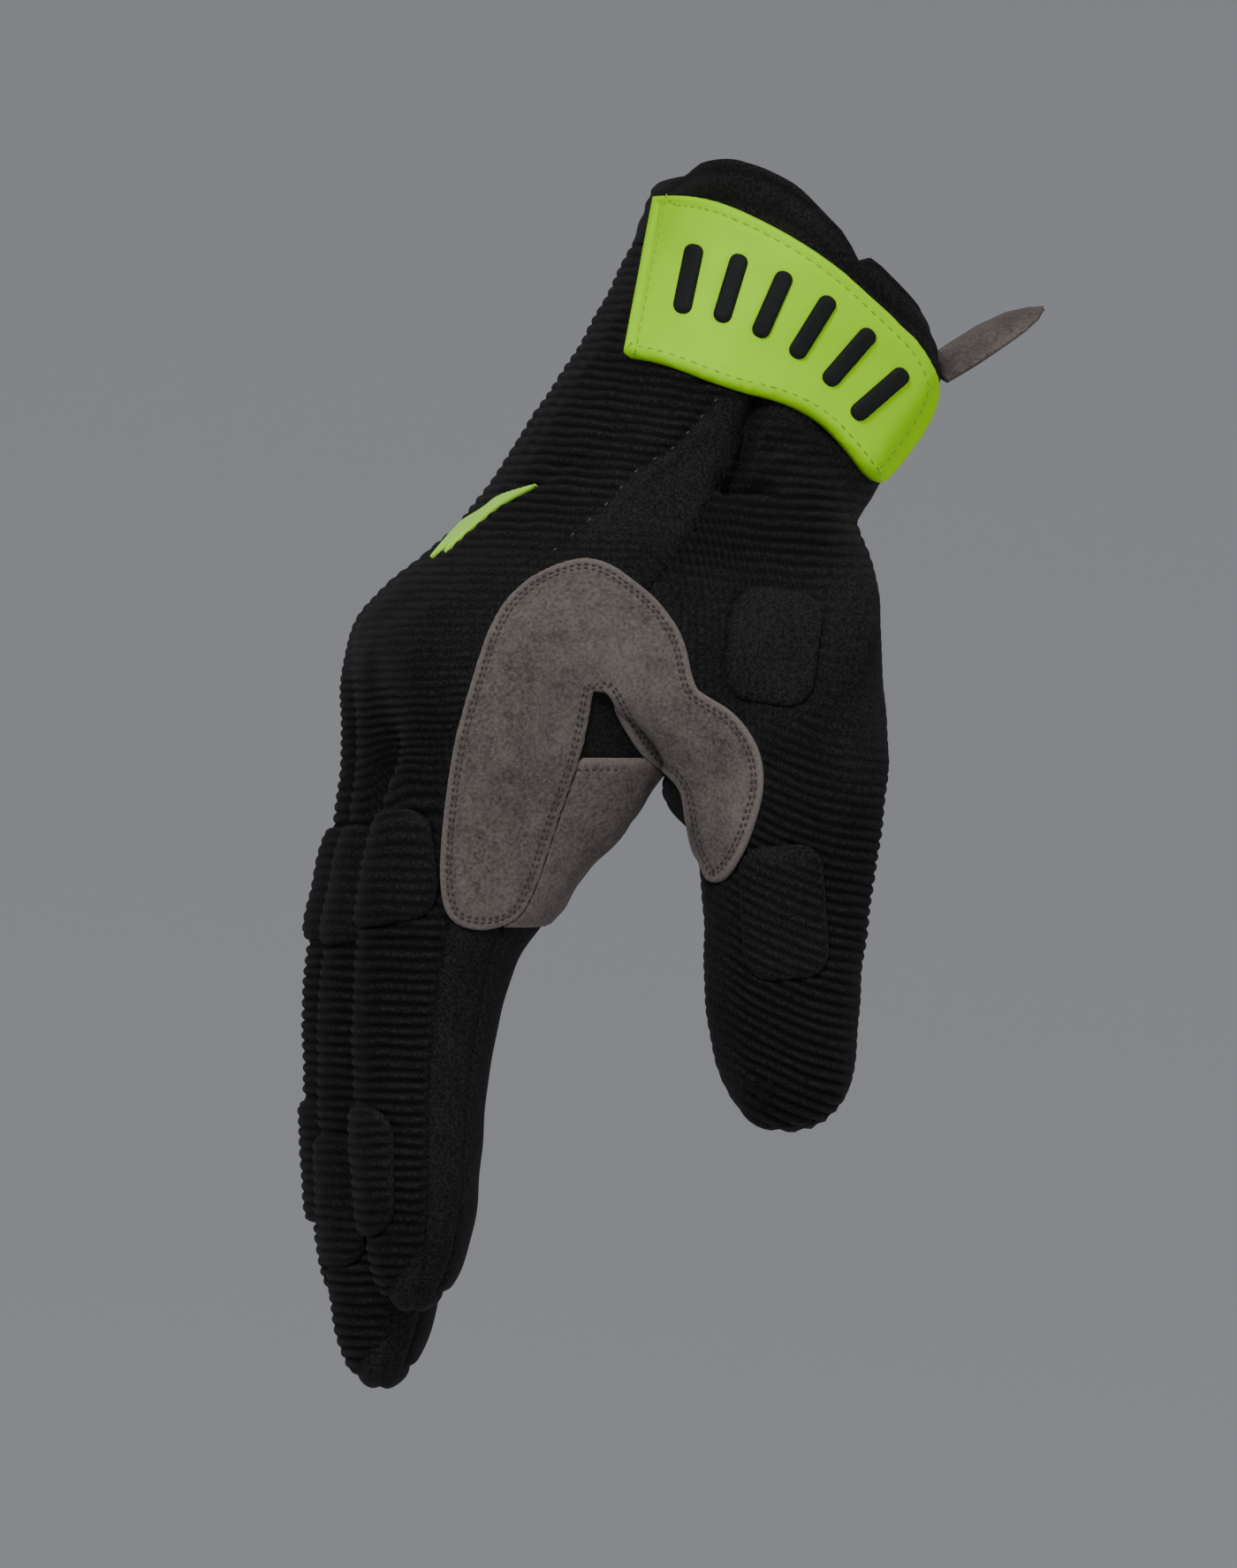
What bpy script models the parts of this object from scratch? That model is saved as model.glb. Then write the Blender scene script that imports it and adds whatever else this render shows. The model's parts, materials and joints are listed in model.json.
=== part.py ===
"""A right-hand riding glove as worn, held up at the wrist with its fingers down.

The thumb side faces -Y, the palm +X and the back of the hand -X. The hand's form is one cage of rings
(cuff, palm, four fingers, thumb) smoothed once by subdivision. Its skin is then cut into the glove's
panels, each a wall of fabric. Pads, patches, strap and trim are laid on it from drawn outlines.
"""

import math
from typing import NamedTuple

import bmesh
import bpy
import numpy as np
from mathutils import Vector

# Driving sizes in metres
BREADTH = 0.100  # across the knuckles; the tables below hold shares of it
WALL = 0.0016
GAP = 0.0003
SUEDE = 0.0012
PAD = 0.0018
STRAP = 0.0030
TRIM = 0.0008
GRIP = 0.0009
TAB = 0.0020

FIT_ROUNDS = 12
NORMAL_ROUNDS = 3
YAW = math.radians(7.0)  # of the line of sight along which the outlines are drawn
SIGHT = Vector((math.sin(YAW), math.cos(YAW), 0.0))
OUTLINE_Y = -0.30  # share; outlines are drawn on the plane at this depth
BODY_ROUND = 2.5
FINGER_ROUND = 2.2
THUMB_ROUND = 2.3
SIDE_ANGLE = math.radians(38.0)  # from the side line to the edge of the palm's panel
CORNER = 0.35  # of a pad's outline, as a share of its shorter side
CUT_REACH = 0.08  # share; how far past an outline the skin is searched


class Section(NamedTuple):
    back_x: float
    back_z: float
    palm_x: float
    palm_z: float
    middle_y: float
    half: float
    lift: float = 0.0  # of the two sides towards the cuff
    groove: float = 0.0  # between neighbouring fingers
    hollow: float = 0.0  # of the palm


class Finger(NamedTuple):
    name: str
    middle_y: float
    half: float
    shift_x: float
    tip_z: float


BODY = (
    Section(-0.222, 0.128, 0.262, -0.118, 0.040, 0.330, 0.085),
    Section(-0.250, 0.035, 0.250, -0.210, 0.030, 0.335, 0.045),
    Section(-0.345, -0.146, 0.165, -0.400, 0.015, 0.350, 0.010),
    Section(-0.430, -0.270, 0.110, -0.550, 0.000, 0.385, 0.0, 0.0, 0.020),
    Section(-0.535, -0.410, 0.020, -0.680, 0.000, 0.430, 0.0, 0.0, 0.055),
    Section(-0.662, -0.563, -0.130, -0.855, 0.000, 0.462, 0.0, 0.004, 0.065),
    Section(-0.738, -0.720, -0.235, -0.980, 0.000, 0.470, 0.0, 0.016, 0.040),
)
RIM_TILT = 0.8  # how much more the lift takes hold at the back than at the palm
THUMB_ROWS = (2, 5)

FINGERS = (
    Finger("index", -0.3360, 0.112, 0.000, -1.80),
    Finger("middle", -0.1000, 0.114, -0.032, -1.940),
    Finger("ring", 0.1310, 0.109, -0.040, -1.82),
    Finger("little", 0.3450, 0.099, -0.015, -1.66),
)
ROOT_Z = -1.030


class Along(NamedTuple):
    share: float  # of the way from the root to the tip
    back_x: float
    palm_x: float
    half: float  # share of the finger's own half width
    slant: float


FINGER = (
    Along(0.00, -0.695, -0.440, 1.02, 0.120),
    Along(0.22, -0.746, -0.491, 1.00, 0.042),
    Along(0.50, -0.764, -0.530, 0.98, 0.006),
    Along(0.80, -0.752, -0.554, 0.93, 0.000),
    Along(0.955, -0.707, -0.598, 0.63, 0.000),
)
TIP_X = -0.655
FINGER_ANGLES = (-90, -45, 0, 45, 90, 128, 180, -128)

# Outer side first, then the side that faces the fingers
THUMB = (
    Section(0.148, -0.540, -0.230, -0.905, -0.335, 0.172),
    Section(0.154, -0.700, -0.190, -0.980, -0.365, 0.158),
    Section(0.156, -0.860, -0.172, -1.045, -0.385, 0.148),
    Section(0.132, -1.080, -0.156, -1.130, -0.405, 0.136),
    Section(0.104, -1.270, -0.145, -1.270, -0.425, 0.126),
    Section(0.075, -1.410, -0.118, -1.395, -0.440, 0.105),
)
THUMB_TIP = (-0.020, -1.475)
THUMB_CAP = 0.040
THUMB_BACK = range(2, 7)  # columns of the thumb's ring that face away from the palm


class Dent(NamedTuple):
    x: float
    y: float
    z: float
    radius: float
    depth: float


DENTS = (
    Dent(-0.090, -0.33, -0.360, 0.075, 0.030),
    Dent(-0.300, 0.00, -0.820, 0.200, 0.035),
    Dent(-0.470, -0.45, -0.960, 0.060, 0.010),
)

# Outlines on the drawing plane, as shares, clockwise as seen from the thumb side
STRAP_OUTLINE = (
    (-0.233, 0.105), (-0.150, 0.085), (-0.075, 0.052), (0.000, 0.015), (0.075, -0.037), (0.150, -0.100),
    (0.210, -0.165), (0.275, -0.250), (0.262, -0.315), (0.215, -0.372), (0.150, -0.390), (0.105, -0.330),
    (0.060, -0.295), (0.000, -0.265), (-0.060, -0.245), (-0.135, -0.229), (-0.210, -0.202), (-0.282, -0.172),
)
CROTCH_PATCH = (
    (-0.375, -0.517), (-0.320, -0.525), (-0.270, -0.560), (-0.232, -0.592), (-0.188, -0.652), (-0.172, -0.742),
    (-0.150, -0.755), (-0.098, -0.787), (-0.060, -0.847), (-0.052, -0.907), (-0.068, -0.967), (-0.090, -1.020),
    (-0.120, -1.065), (-0.150, -1.073), (-0.161, -1.050), (-0.180, -1.012), (-0.188, -0.967), (-0.195, -0.922),
    (-0.205, -0.900), (-0.205, -0.862), (-0.205, -0.802), (-0.240, -0.762), (-0.300, -0.748), (-0.342, -0.750),
    (-0.352, -0.817), (-0.368, -0.877), (-0.390, -0.937), (-0.412, -1.000), (-0.435, -1.072), (-0.465, -1.135),
    (-0.525, -1.155), (-0.585, -1.140), (-0.604, -1.090), (-0.603, -0.997), (-0.585, -0.847), (-0.555, -0.742),
    (-0.517, -0.622), (-0.462, -0.555),
)
ACCENT_OUTLINE = ((-0.440, -0.390), (-0.530, -0.440), (-0.622, -0.510), (-0.612, -0.528), (-0.525, -0.462))


class Pad(NamedTuple):
    """A raised rounded rectangle, drawn on the plane of the outlines."""

    name: str
    x: float
    z: float
    wide: float
    tall: float
    lean: float  # degrees
    near: float
    far: float  # the depths between which it may lie


PADS = (
    Pad("thumb_base_pad", -0.037, -0.670, 0.155, 0.195, -8, -1.00, -0.30),
    Pad("thumb_pad", -0.020, -1.120, 0.150, 0.225, 4, -1.00, -0.30),
    Pad("index_knuckle_pad", -0.715, -1.045, 0.210, 0.190, 8, -1.00, -0.245),
    Pad("index_pad", -0.775, -1.560, 0.180, 0.220, 0, -1.00, -0.245),
    Pad("middle_knuckle_pad", -0.800, -1.075, 0.210, 0.200, 4, -0.200, -0.010),
    Pad("middle_pad", -0.820, -1.615, 0.180, 0.220, 0, -0.200, -0.010),
    Pad("ring_knuckle_pad", -0.840, -1.075, 0.210, 0.190, 4, 0.035, 0.220),
    Pad("ring_pad", -0.860, -1.555, 0.180, 0.210, 0, 0.035, 0.220),
)

# The palm's suede patch, seen from the front: middle and size in y and z
PALM_PATCH = Pad("palm_patch", 0.085, -0.982, 0.630, 0.235, 0, -0.60, -0.02)

# Raised bars on the strap: middles on the drawing plane, and the lean of each in degrees
GRIPS = (
    (-0.165, -0.055, -12),
    (-0.090, -0.075, -18),
    (-0.015, -0.105, -26),
    (0.058, -0.148, -35),
    (0.127, -0.203, -44),
    (0.190, -0.268, -52),
)
GRIP_WIDE, GRIP_TALL = 0.032, 0.145


class TabStep(NamedTuple):
    x: float
    z: float
    half: float
    thick: float  # share of the tab's thickness


TAB_Y = -0.040
TAB_STEPS = (
    TabStep(0.279, -0.203, 0.085, 1.0),
    TabStep(0.330, -0.170, 0.088, 1.0),
    TabStep(0.380, -0.138, 0.088, 1.0),
    TabStep(0.425, -0.114, 0.078, 0.9),
    TabStep(0.455, -0.102, 0.052, 0.8),
    TabStep(0.468, -0.098, 0.025, 0.7),
)

COLOURS = {
    "rib_knit": ((0.012, 0.012, 0.013), 0.85),
    "plain_knit": ((0.009, 0.009, 0.010), 0.80),
    "suede": ((0.130, 0.105, 0.098), 0.95),
    "lime_rubber": ((0.380, 0.800, 0.020), 0.45),
    "black_rubber": ((0.020, 0.022, 0.021), 0.55),
    "lime_tape": ((0.360, 0.700, 0.060), 0.70),
}


def clear_scene():
    for obj in list(bpy.data.objects):
        bpy.data.objects.remove(obj)


def material(name):
    found = bpy.data.materials.get(name)
    if found:
        return found
    made = bpy.data.materials.new(name)
    made.use_nodes = True
    shader = made.node_tree.nodes["Principled BSDF"]
    colour, roughness = COLOURS[name]
    shader.inputs["Base Color"].default_value = (*colour, 1.0)
    shader.inputs["Roughness"].default_value = roughness
    return made


def rounded(angle, roundness):
    """The two coordinates, as shares, of a point on a rounded section."""
    power = 2.0 / roundness
    c, s = math.cos(angle), math.sin(angle)
    return math.copysign(abs(c) ** power, c), math.copysign(abs(s) ** power, s)


def section_point(row, across, out):
    """A point of a section: across runs from the thumb side (-1), out from the palm (-1) to the back (+1)."""
    back = np.array((row.back_x, 0.0, row.back_z))
    palm = np.array((row.palm_x, 0.0, row.palm_z))
    half = (back - palm) / 2
    up = np.array((half[2], 0.0, -half[0])) / np.linalg.norm(half)
    side = np.array((0.0, row.middle_y + row.half * across, 0.0))
    lift = row.lift * across**2 * (1 + RIM_TILT * out)
    return (back + palm) / 2 + half * out + side + up * lift


def finger_bounds():
    """Where one finger ends and the next begins, as shares of the hand's half breadth."""
    first, last = FINGERS[0], FINGERS[-1]
    edges = [first.middle_y - first.half]
    for a, b in zip(FINGERS, FINGERS[1:]):
        edges.append((a.middle_y + a.half + b.middle_y - b.half) / 2)
    edges.append(last.middle_y + last.half)
    middle, half = (edges[0] + edges[-1]) / 2, (edges[-1] - edges[0]) / 2
    return [(edge - middle) / half for edge in edges]


def angle_at(across):
    """The angle from the thumb side at which a body section has this breadth."""
    turn = math.acos(min(1.0, abs(across)) ** (BODY_ROUND / 2))
    return turn if across < 0 else math.pi - turn


def body_ring(row):
    """17 points over the back from the thumb side, then 9 over the palm on the way back."""
    bounds = [angle_at(b) for b in finger_bounds()]
    back = [np.interp(k / 4, range(5), bounds) for k in range(17)]
    low = [SIDE_ANGLE, *bounds[1:4], math.pi - SIDE_ANGLE]
    front = [np.interp(k / 2, range(5), low) for k in range(8, -1, -1)]
    points = []
    for k, angle in enumerate(back):
        c, s = rounded(angle, BODY_ROUND)
        dip = row.groove * (1 - math.sin(math.pi * (k % 4) / 4)) if 0 < k < 16 else 0.0
        point = section_point(row, -c, s)
        points.append(point + np.array((dip, 0.0, -dip * 0.4)))
    for angle in front:
        c, s = rounded(angle, BODY_ROUND)
        cup = row.hollow * max(0.0, 1 - ((c - 0.1) / 0.75) ** 2)
        points.append(section_point(row, -c, -s) - np.array((cup, 0.0, 0.0)))
    return points


def finger_ring(finger, along):
    """Eight points round a finger, from its thumb side over the back."""
    size = finger.half / FINGERS[0].half
    centre = (along.back_x + along.palm_x) / 2 + finger.shift_x
    deep = (along.palm_x - along.back_x) / 2 * size
    z = ROOT_Z + (finger.tip_z - ROOT_Z) * along.share
    points = []
    for degrees in FINGER_ANGLES:
        out, across = rounded(math.radians(degrees), FINGER_ROUND)
        y = finger.middle_y + finger.half * along.half * across
        points.append(np.array((centre - deep * out, y, z + along.slant * out)))
    return points


def thumb_ring(row):
    """Twelve points round the thumb, in the order of the opening that it grows from."""
    points = []
    for k in range(12):
        out, across = rounded(math.radians(45 - 30 * k), THUMB_ROUND)
        points.append(section_point(row, across, out))
    return points


class Cage:
    """Points and quads, each quad with the name of its panel."""

    def __init__(self):
        self.points, self.faces, self.panels = [], [], []

    def add(self, points):
        start = len(self.points)
        self.points += points
        return list(range(start, len(self.points)))

    def quad(self, corners, panel):
        self.faces.append(corners)
        self.panels.append(panel)

    def bridge(self, first, second, panels):
        count = len(first)
        for i in range(count):
            if panels[i]:
                j = (i + 1) % count
                self.quad((first[i], first[j], second[j], second[i]), panels[i])


def web_ring():
    """The ring where the fingers leave the palm: neighbours share their two side points."""
    rings = [finger_ring(finger, FINGER[0]) for finger in FINGERS]
    back = [rings[0][0]]
    front = [rings[0][7]]
    for i, ring in enumerate(rings):
        after = rings[i + 1] if i + 1 < len(rings) else None
        back += ring[1:4] + [ring[4] if after is None else (ring[4] + after[0]) / 2]
        front += [ring[6], ring[5] if after is None else (ring[5] + after[7]) / 2]
    return back + front[::-1]


def add_fingers(cage, web):
    for f, finger in enumerate(FINGERS):
        front = [web[25 - 2 * f - k] for k in (2, 1, 0)]
        ring = web[4 * f : 4 * f + 5] + front
        names = [f"{finger.name}_{part}" for part in ["back"] * 4 + ["band"] + ["front"] * 2 + ["band"]]
        for along in FINGER[1:]:
            following = cage.add(finger_ring(finger, along))
            cage.bridge(ring, following, names)
            ring = following
        tip = cage.add([np.array((TIP_X + finger.shift_x, finger.middle_y, finger.tip_z))])[0]
        for k, part in ((0, "back"), (2, "back"), (4, "band"), (6, "band")):
            corners = (ring[k], ring[k + 1], ring[(k + 2) % 8], tip)
            cage.quad(corners, f"{finger.name}_{part}")


def add_thumb(cage, rings):
    top, bottom = THUMB_ROWS
    edge = [rings[top][i] for i in (23, 24, 25, 0)]
    edge += [rings[r][0] for r in range(top + 1, bottom + 1)]
    edge += [rings[bottom][i] for i in (25, 24, 23)]
    edge += [rings[r][23] for r in range(bottom - 1, top, -1)]
    names = ["thumb_back" if i in THUMB_BACK else "thumb_front" for i in range(12)]
    ring = edge
    for row in THUMB:
        following = cage.add(thumb_ring(row))
        cage.bridge(ring, following, names)
        ring = following
    x, z = THUMB_TIP
    y = THUMB[-1].middle_y
    corners = ((1, 1), (1, -1), (-1, -1), (-1, 1))
    a, b, c, d = cage.add([np.array((x + THUMB_CAP * i, y + THUMB_CAP * j, z)) for i, j in corners])
    rows = ((0, 1, 2, 3), (11, a, b, 4), (10, d, c, 5), (9, 8, 7, 6))
    inner = {a, b, c, d}
    grid = [[v if v in inner else ring[v] for v in row] for row in rows]
    for i in range(3):
        for j in range(3):
            corners = (grid[i][j], grid[i][j + 1], grid[i + 1][j + 1], grid[i + 1][j])
            cage.quad(corners, "thumb_back" if (i < 2 and j == 2) else "thumb_front")


def build_cage():
    cage = Cage()
    rings = [cage.add(body_ring(row)) for row in BODY]
    web = cage.add(web_ring())
    rings.append(web)
    for r, (first, second) in enumerate(zip(rings, rings[1:])):
        names = ["hand_back"] * 16 + ["palm"] * 10
        if r == 0:
            names = ["cuff"] * 26
        if THUMB_ROWS[0] <= r < THUMB_ROWS[1]:
            names[23:26] = [None] * 3
        cage.bridge(first, second, names)
    add_fingers(cage, web)
    add_thumb(cage, rings)
    return cage


def limit_weights(faces, count):
    """The matrix that takes a cage's points to where endless smoothing puts them."""
    weights = np.zeros((count, count))
    edges = {}
    for face in faces:
        for k in range(4):
            edges.setdefault(frozenset((face[k], face[(k + 1) % 4])), []).append(face)
    border = {}
    for edge, sides in edges.items():
        if len(sides) == 1:
            for v in edge:
                border.setdefault(v, []).extend(edge - {v})
    around = {}
    for edge in edges:
        a, b = edge
        around.setdefault(a, []).append(b)
        around.setdefault(b, []).append(a)
    across = {}
    for face in faces:
        for k in range(4):
            across.setdefault(face[k], []).append(face[(k + 2) % 4])
    for v in range(count):
        if v in border:
            weights[v, v] = 4 / 6
            weights[v, border[v]] = 1 / 6
            continue
        n = len(around.get(v, ()))
        if not n:
            weights[v, v] = 1.0
            continue
        whole = n * (n + 5)
        weights[v, v] += n * n / whole
        for u in around[v]:
            weights[v, u] += 4 / whole
        for u in across[v]:
            weights[v, u] += 1 / whole
    return weights


def fitted(points, faces):
    """Moves the cage out until the smoothed form passes through the tables' points."""
    target = np.array(points)
    weights = limit_weights(faces, len(points))
    cage = target.copy()
    for _ in range(FIT_ROUNDS):
        cage += 0.8 * (target - weights @ cage)
    return cage


class Skin:
    """The smoothed form as triangles: points, outward normals, faces and each face's panel."""

    def __init__(self, cage, levels):
        mesh = bpy.data.meshes.new("cage")
        mesh.from_pydata((fitted(cage.points, cage.faces) * BREADTH).tolist(), [], cage.faces)
        names = sorted(set(cage.panels))
        for polygon, panel in zip(mesh.polygons, cage.panels):
            polygon.material_index = names.index(panel)
        obj = bpy.data.objects.new("cage", mesh)
        bpy.context.scene.collection.objects.link(obj)
        smooth = obj.modifiers.new("smooth", "SUBSURF")
        smooth.levels = smooth.render_levels = levels
        smooth.use_limit_surface = True
        graph = bpy.context.evaluated_depsgraph_get()
        fine = bpy.data.meshes.new_from_object(obj.evaluated_get(graph))
        bpy.data.objects.remove(obj)
        shape = bmesh.new()
        shape.from_mesh(fine)
        bmesh.ops.recalc_face_normals(shape, faces=shape.faces)
        bmesh.ops.triangulate(shape, faces=shape.faces, quad_method="SHORT_EDGE")
        shape.normal_update()
        self.points = np.array([v.co for v in shape.verts])
        self.normals = np.array([v.normal for v in shape.verts])
        self.faces = np.array([[v.index for v in f.verts] for f in shape.faces])
        self.panels = [names[f.material_index] for f in shape.faces]
        shape.free()
        self.dent()
        self.relax_normals()

    def dent(self):
        for dent in DENTS:
            centre = np.array((dent.x, dent.y, dent.z)) * BREADTH
            far = np.linalg.norm(self.points - centre, axis=1) / (dent.radius * BREADTH)
            self.points -= self.normals * (np.exp(-(far**2)) * dent.depth * BREADTH)[:, None]

    def relax_normals(self):
        """Evens out the directions in which walls are built, so that they don't cross in the webs."""
        edges = np.vstack([self.faces[:, [k, (k + 1) % 3]] for k in range(3)])
        for _ in range(NORMAL_ROUNDS):
            total = self.normals.copy()
            for a, b in (edges.T, edges.T[::-1]):
                np.add.at(total, a, self.normals[b])
            self.normals = total / np.linalg.norm(total, axis=1)[:, None]

    def panel(self, name):
        return [i for i, panel in enumerate(self.panels) if panel == name]


def object_from(name, points, faces, slot):
    mesh = bpy.data.meshes.new(name)
    mesh.from_pydata([tuple(p) for p in points], [], [tuple(f) for f in faces])
    obj = bpy.data.objects.new(name, mesh)
    bpy.context.scene.collection.objects.link(obj)
    mesh.materials.append(material(slot))
    mesh.shade_smooth()
    mesh.set_sharp_from_angle(angle=math.radians(35))
    return obj


def border_pull(points, normals, rim):
    """For each point on a panel's border, the step into the panel that moves its edges in by one."""
    steps = {}
    for a, b in rim:
        inward = np.cross(normals[a] + normals[b], points[b] - points[a])
        inward /= np.linalg.norm(inward)
        for v in (a, b):
            steps.setdefault(v, []).append(inward)
    pull = np.zeros_like(points)
    for v, sides in steps.items():
        whole = sum(sides)
        pull[v] = whole / max(whole @ whole / len(sides), 0.5)
    return pull


def wall(skin, chosen, low, high, pull=0.0):
    """Points and faces of a closed wall over some of the skin's faces, between two offsets from the skin."""
    faces = skin.faces[chosen]
    used, index = np.unique(faces, return_inverse=True)
    faces = index.reshape(-1, 3)
    points, normals = skin.points[used], skin.normals[used]
    edges = {}
    for face in faces:
        for k in range(3):
            a, b = face[k], face[(k + 1) % 3]
            edges[(a, b)] = edges.get((a, b), 0) + 1
    rim = [(a, b) for a, b in edges if (b, a) not in edges]
    if pull:
        points = points + border_pull(points, normals, rim) * pull
    outer, inner = points + normals * high, points + normals * low
    count = len(points)
    closed = faces.tolist() + (faces[:, ::-1] + count).tolist()
    for a, b in rim:
        # Both panels along a border split its wall the same way
        if used[a] < used[b]:
            closed += [[b, a, b + count], [a, a + count, b + count]]
        else:
            closed += [[b, a, a + count], [b, a + count, b + count]]
    return np.vstack((outer, inner)), closed


def panel_solid(skin, name, slot):
    points, faces = wall(skin, skin.panel(name), -WALL, 0.0, GAP / 2)
    return object_from(name, points, faces, slot)


def drawn(outline, depth):
    """An outline drawn on the plane of the photograph, carried along the line of sight to a depth."""
    step = SIGHT * ((depth - OUTLINE_Y) * BREADTH)
    return [Vector((x, OUTLINE_Y, z)) * BREADTH + step for x, z in outline]


def bar(near, far):
    """A bar between two copies of an outline, used as a cutter."""
    count = len(near)
    faces = [list(range(count)), list(range(2 * count - 1, count - 1, -1))]
    for a in range(count):
        b = (a + 1) % count
        faces.append([b, a, a + count, b + count])
    mesh = bpy.data.meshes.new("outline")
    mesh.from_pydata([tuple(p) for p in near + far], [], faces)
    shape = bmesh.new()
    shape.from_mesh(mesh)
    bmesh.ops.recalc_face_normals(shape, faces=shape.faces)
    shape.to_mesh(mesh)
    shape.free()
    obj = bpy.data.objects.new("outline", mesh)
    bpy.context.scene.collection.objects.link(obj)
    return obj


def faces_by(skin, cutter, view, facing):
    """The skin's faces round a cutter that turn no further from the view than asked."""
    margin = CUT_REACH * BREADTH
    corners = np.array([v.co for v in cutter.data.vertices])
    centres = skin.points[skin.faces].mean(axis=1)
    away = skin.normals[skin.faces].mean(axis=1) @ np.array(view)
    inside = (centres > corners.min(axis=0) - margin).all(axis=1)
    inside &= (centres < corners.max(axis=0) + margin).all(axis=1)
    return [int(i) for i in np.nonzero(inside & (away < facing))[0]]


def keep_largest(mesh):
    """Leaves the largest of the bodies that a cut made."""
    shape = bmesh.new()
    shape.from_mesh(mesh)
    left, bodies = set(shape.faces), []
    while left:
        body, edge = set(), [left.pop()]
        while edge:
            face = edge.pop()
            body.add(face)
            near = {other for side in face.edges for other in side.link_faces} & left
            left -= near
            edge += near
        bodies.append(body)
    bodies.sort(key=lambda body: sum(face.calc_area() for face in body))
    for body in bodies[:-1]:
        bmesh.ops.delete(shape, geom=list(body), context="FACES")
    shape.to_mesh(mesh)
    shape.free()


def filled(skin, chosen):
    """Adds the faces round any point where the chosen faces would only touch at a corner."""
    chosen = set(chosen)
    while True:
        sides = {}
        for i in chosen:
            a, b, c = skin.faces[i]
            for side in ((a, b), (b, c), (c, a)):
                sides[side] = i
        starts = [a for a, b in sides if (b, a) not in sides]
        corners = {v for v in starts if starts.count(v) > 1}
        if not corners:
            return sorted(chosen)
        chosen |= {i for i, face in enumerate(skin.faces) if corners & set(face)}


def laid_on(skin, name, cutter, low, thickness, slot, view=SIGHT, facing=0.3):
    """A sheet lying on the skin where a cutter meets it."""
    chosen = filled(skin, faces_by(skin, cutter, view, facing))
    points, faces = wall(skin, chosen, low, low + thickness)
    sheet = object_from(name, points, faces, slot)
    cut = sheet.modifiers.new("cut", "BOOLEAN")
    cut.operation, cut.solver, cut.object = "INTERSECT", "EXACT", cutter
    cut.use_self = cut.use_hole_tolerant = True
    graph = bpy.context.evaluated_depsgraph_get()
    mesh = bpy.data.meshes.new_from_object(sheet.evaluated_get(graph))
    keep_largest(mesh)
    old = sheet.data
    sheet.modifiers.clear()
    sheet.data = mesh
    bpy.data.meshes.remove(old)
    bpy.data.objects.remove(cutter)
    return sheet


def drawn_on(skin, name, outline, low, thickness, slot, near=-1.0, far=-0.2, facing=0.3):
    """A sheet lying on the skin inside an outline, between two depths along the line of sight."""
    cutter = bar(drawn(outline, near), drawn(outline, far))
    return laid_on(skin, name, cutter, low, thickness, slot, facing=facing)


def rounded_rectangle(pad):
    """The outline of a pad, turned by its lean, in the plane on which it is drawn."""
    points = []
    corner = CORNER * min(pad.wide, pad.tall)
    lean = math.radians(pad.lean)
    for sx, sz, start in ((1, 1, 0), (-1, 1, 90), (-1, -1, 180), (1, -1, 270)):
        for turn in (0, 30, 60, 90):
            angle = math.radians(start + turn)
            x = sx * (pad.wide / 2 - corner) + corner * math.cos(angle)
            z = sz * (pad.tall / 2 - corner) + corner * math.sin(angle)
            turned_x = x * math.cos(lean) - z * math.sin(lean)
            turned_z = x * math.sin(lean) + z * math.cos(lean)
            points.append((pad.x + turned_x, pad.z + turned_z))
    return points


def palm_patch(skin):
    outline = rounded_rectangle(PALM_PATCH)
    near, far = ([Vector((x, y, z)) * BREADTH for y, z in outline] for x in (PALM_PATCH.near, PALM_PATCH.far))
    laid_on(skin, "palm_patch", bar(near, far), GAP, SUEDE, "suede", Vector((-1.0, 0.0, 0.0)), 0.1)


def strap_grips(skin):
    on_strap = STRAP + 2 * GAP
    for n, (x, z, lean) in enumerate(GRIPS, 1):
        grip = Pad(f"strap_grip_{n}", x, z, GRIP_WIDE, GRIP_TALL, lean, -1.0, -0.15)
        outline = rounded_rectangle(grip)
        drawn_on(skin, grip.name, outline, on_strap, GRIP, "black_rubber", grip.near, grip.far)


def pull_tab():
    """The flat suede tongue at the strap's end."""
    points, faces = [], []
    last = len(TAB_STEPS) - 1
    for i, step in enumerate(TAB_STEPS):
        before, after = TAB_STEPS[max(i - 1, 0)], TAB_STEPS[min(i + 1, last)]
        along = Vector((after.x - before.x, 0.0, after.z - before.z)).normalized()
        up = Vector((-along.z, 0.0, along.x)) * (step.thick * TAB / 2)
        for side, rise in ((-1, 1), (1, 1), (1, -1), (-1, -1)):
            middle = Vector((step.x, TAB_Y + side * step.half, step.z)) * BREADTH
            points.append(middle + up * rise)
    for a in range(0, 4 * last, 4):
        for k in range(4):
            j = (k + 1) % 4
            faces.append([a + k, a + j, a + 4 + j, a + 4 + k])
    end = 4 * last
    faces += [[3, 2, 1, 0], [end, end + 1, end + 2, end + 3]]
    tab = object_from("pull_tab", points, faces, "suede")
    shape = bmesh.new()
    shape.from_mesh(tab.data)
    bmesh.ops.recalc_face_normals(shape, faces=shape.faces)
    shape.to_mesh(tab.data)
    shape.free()


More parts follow.
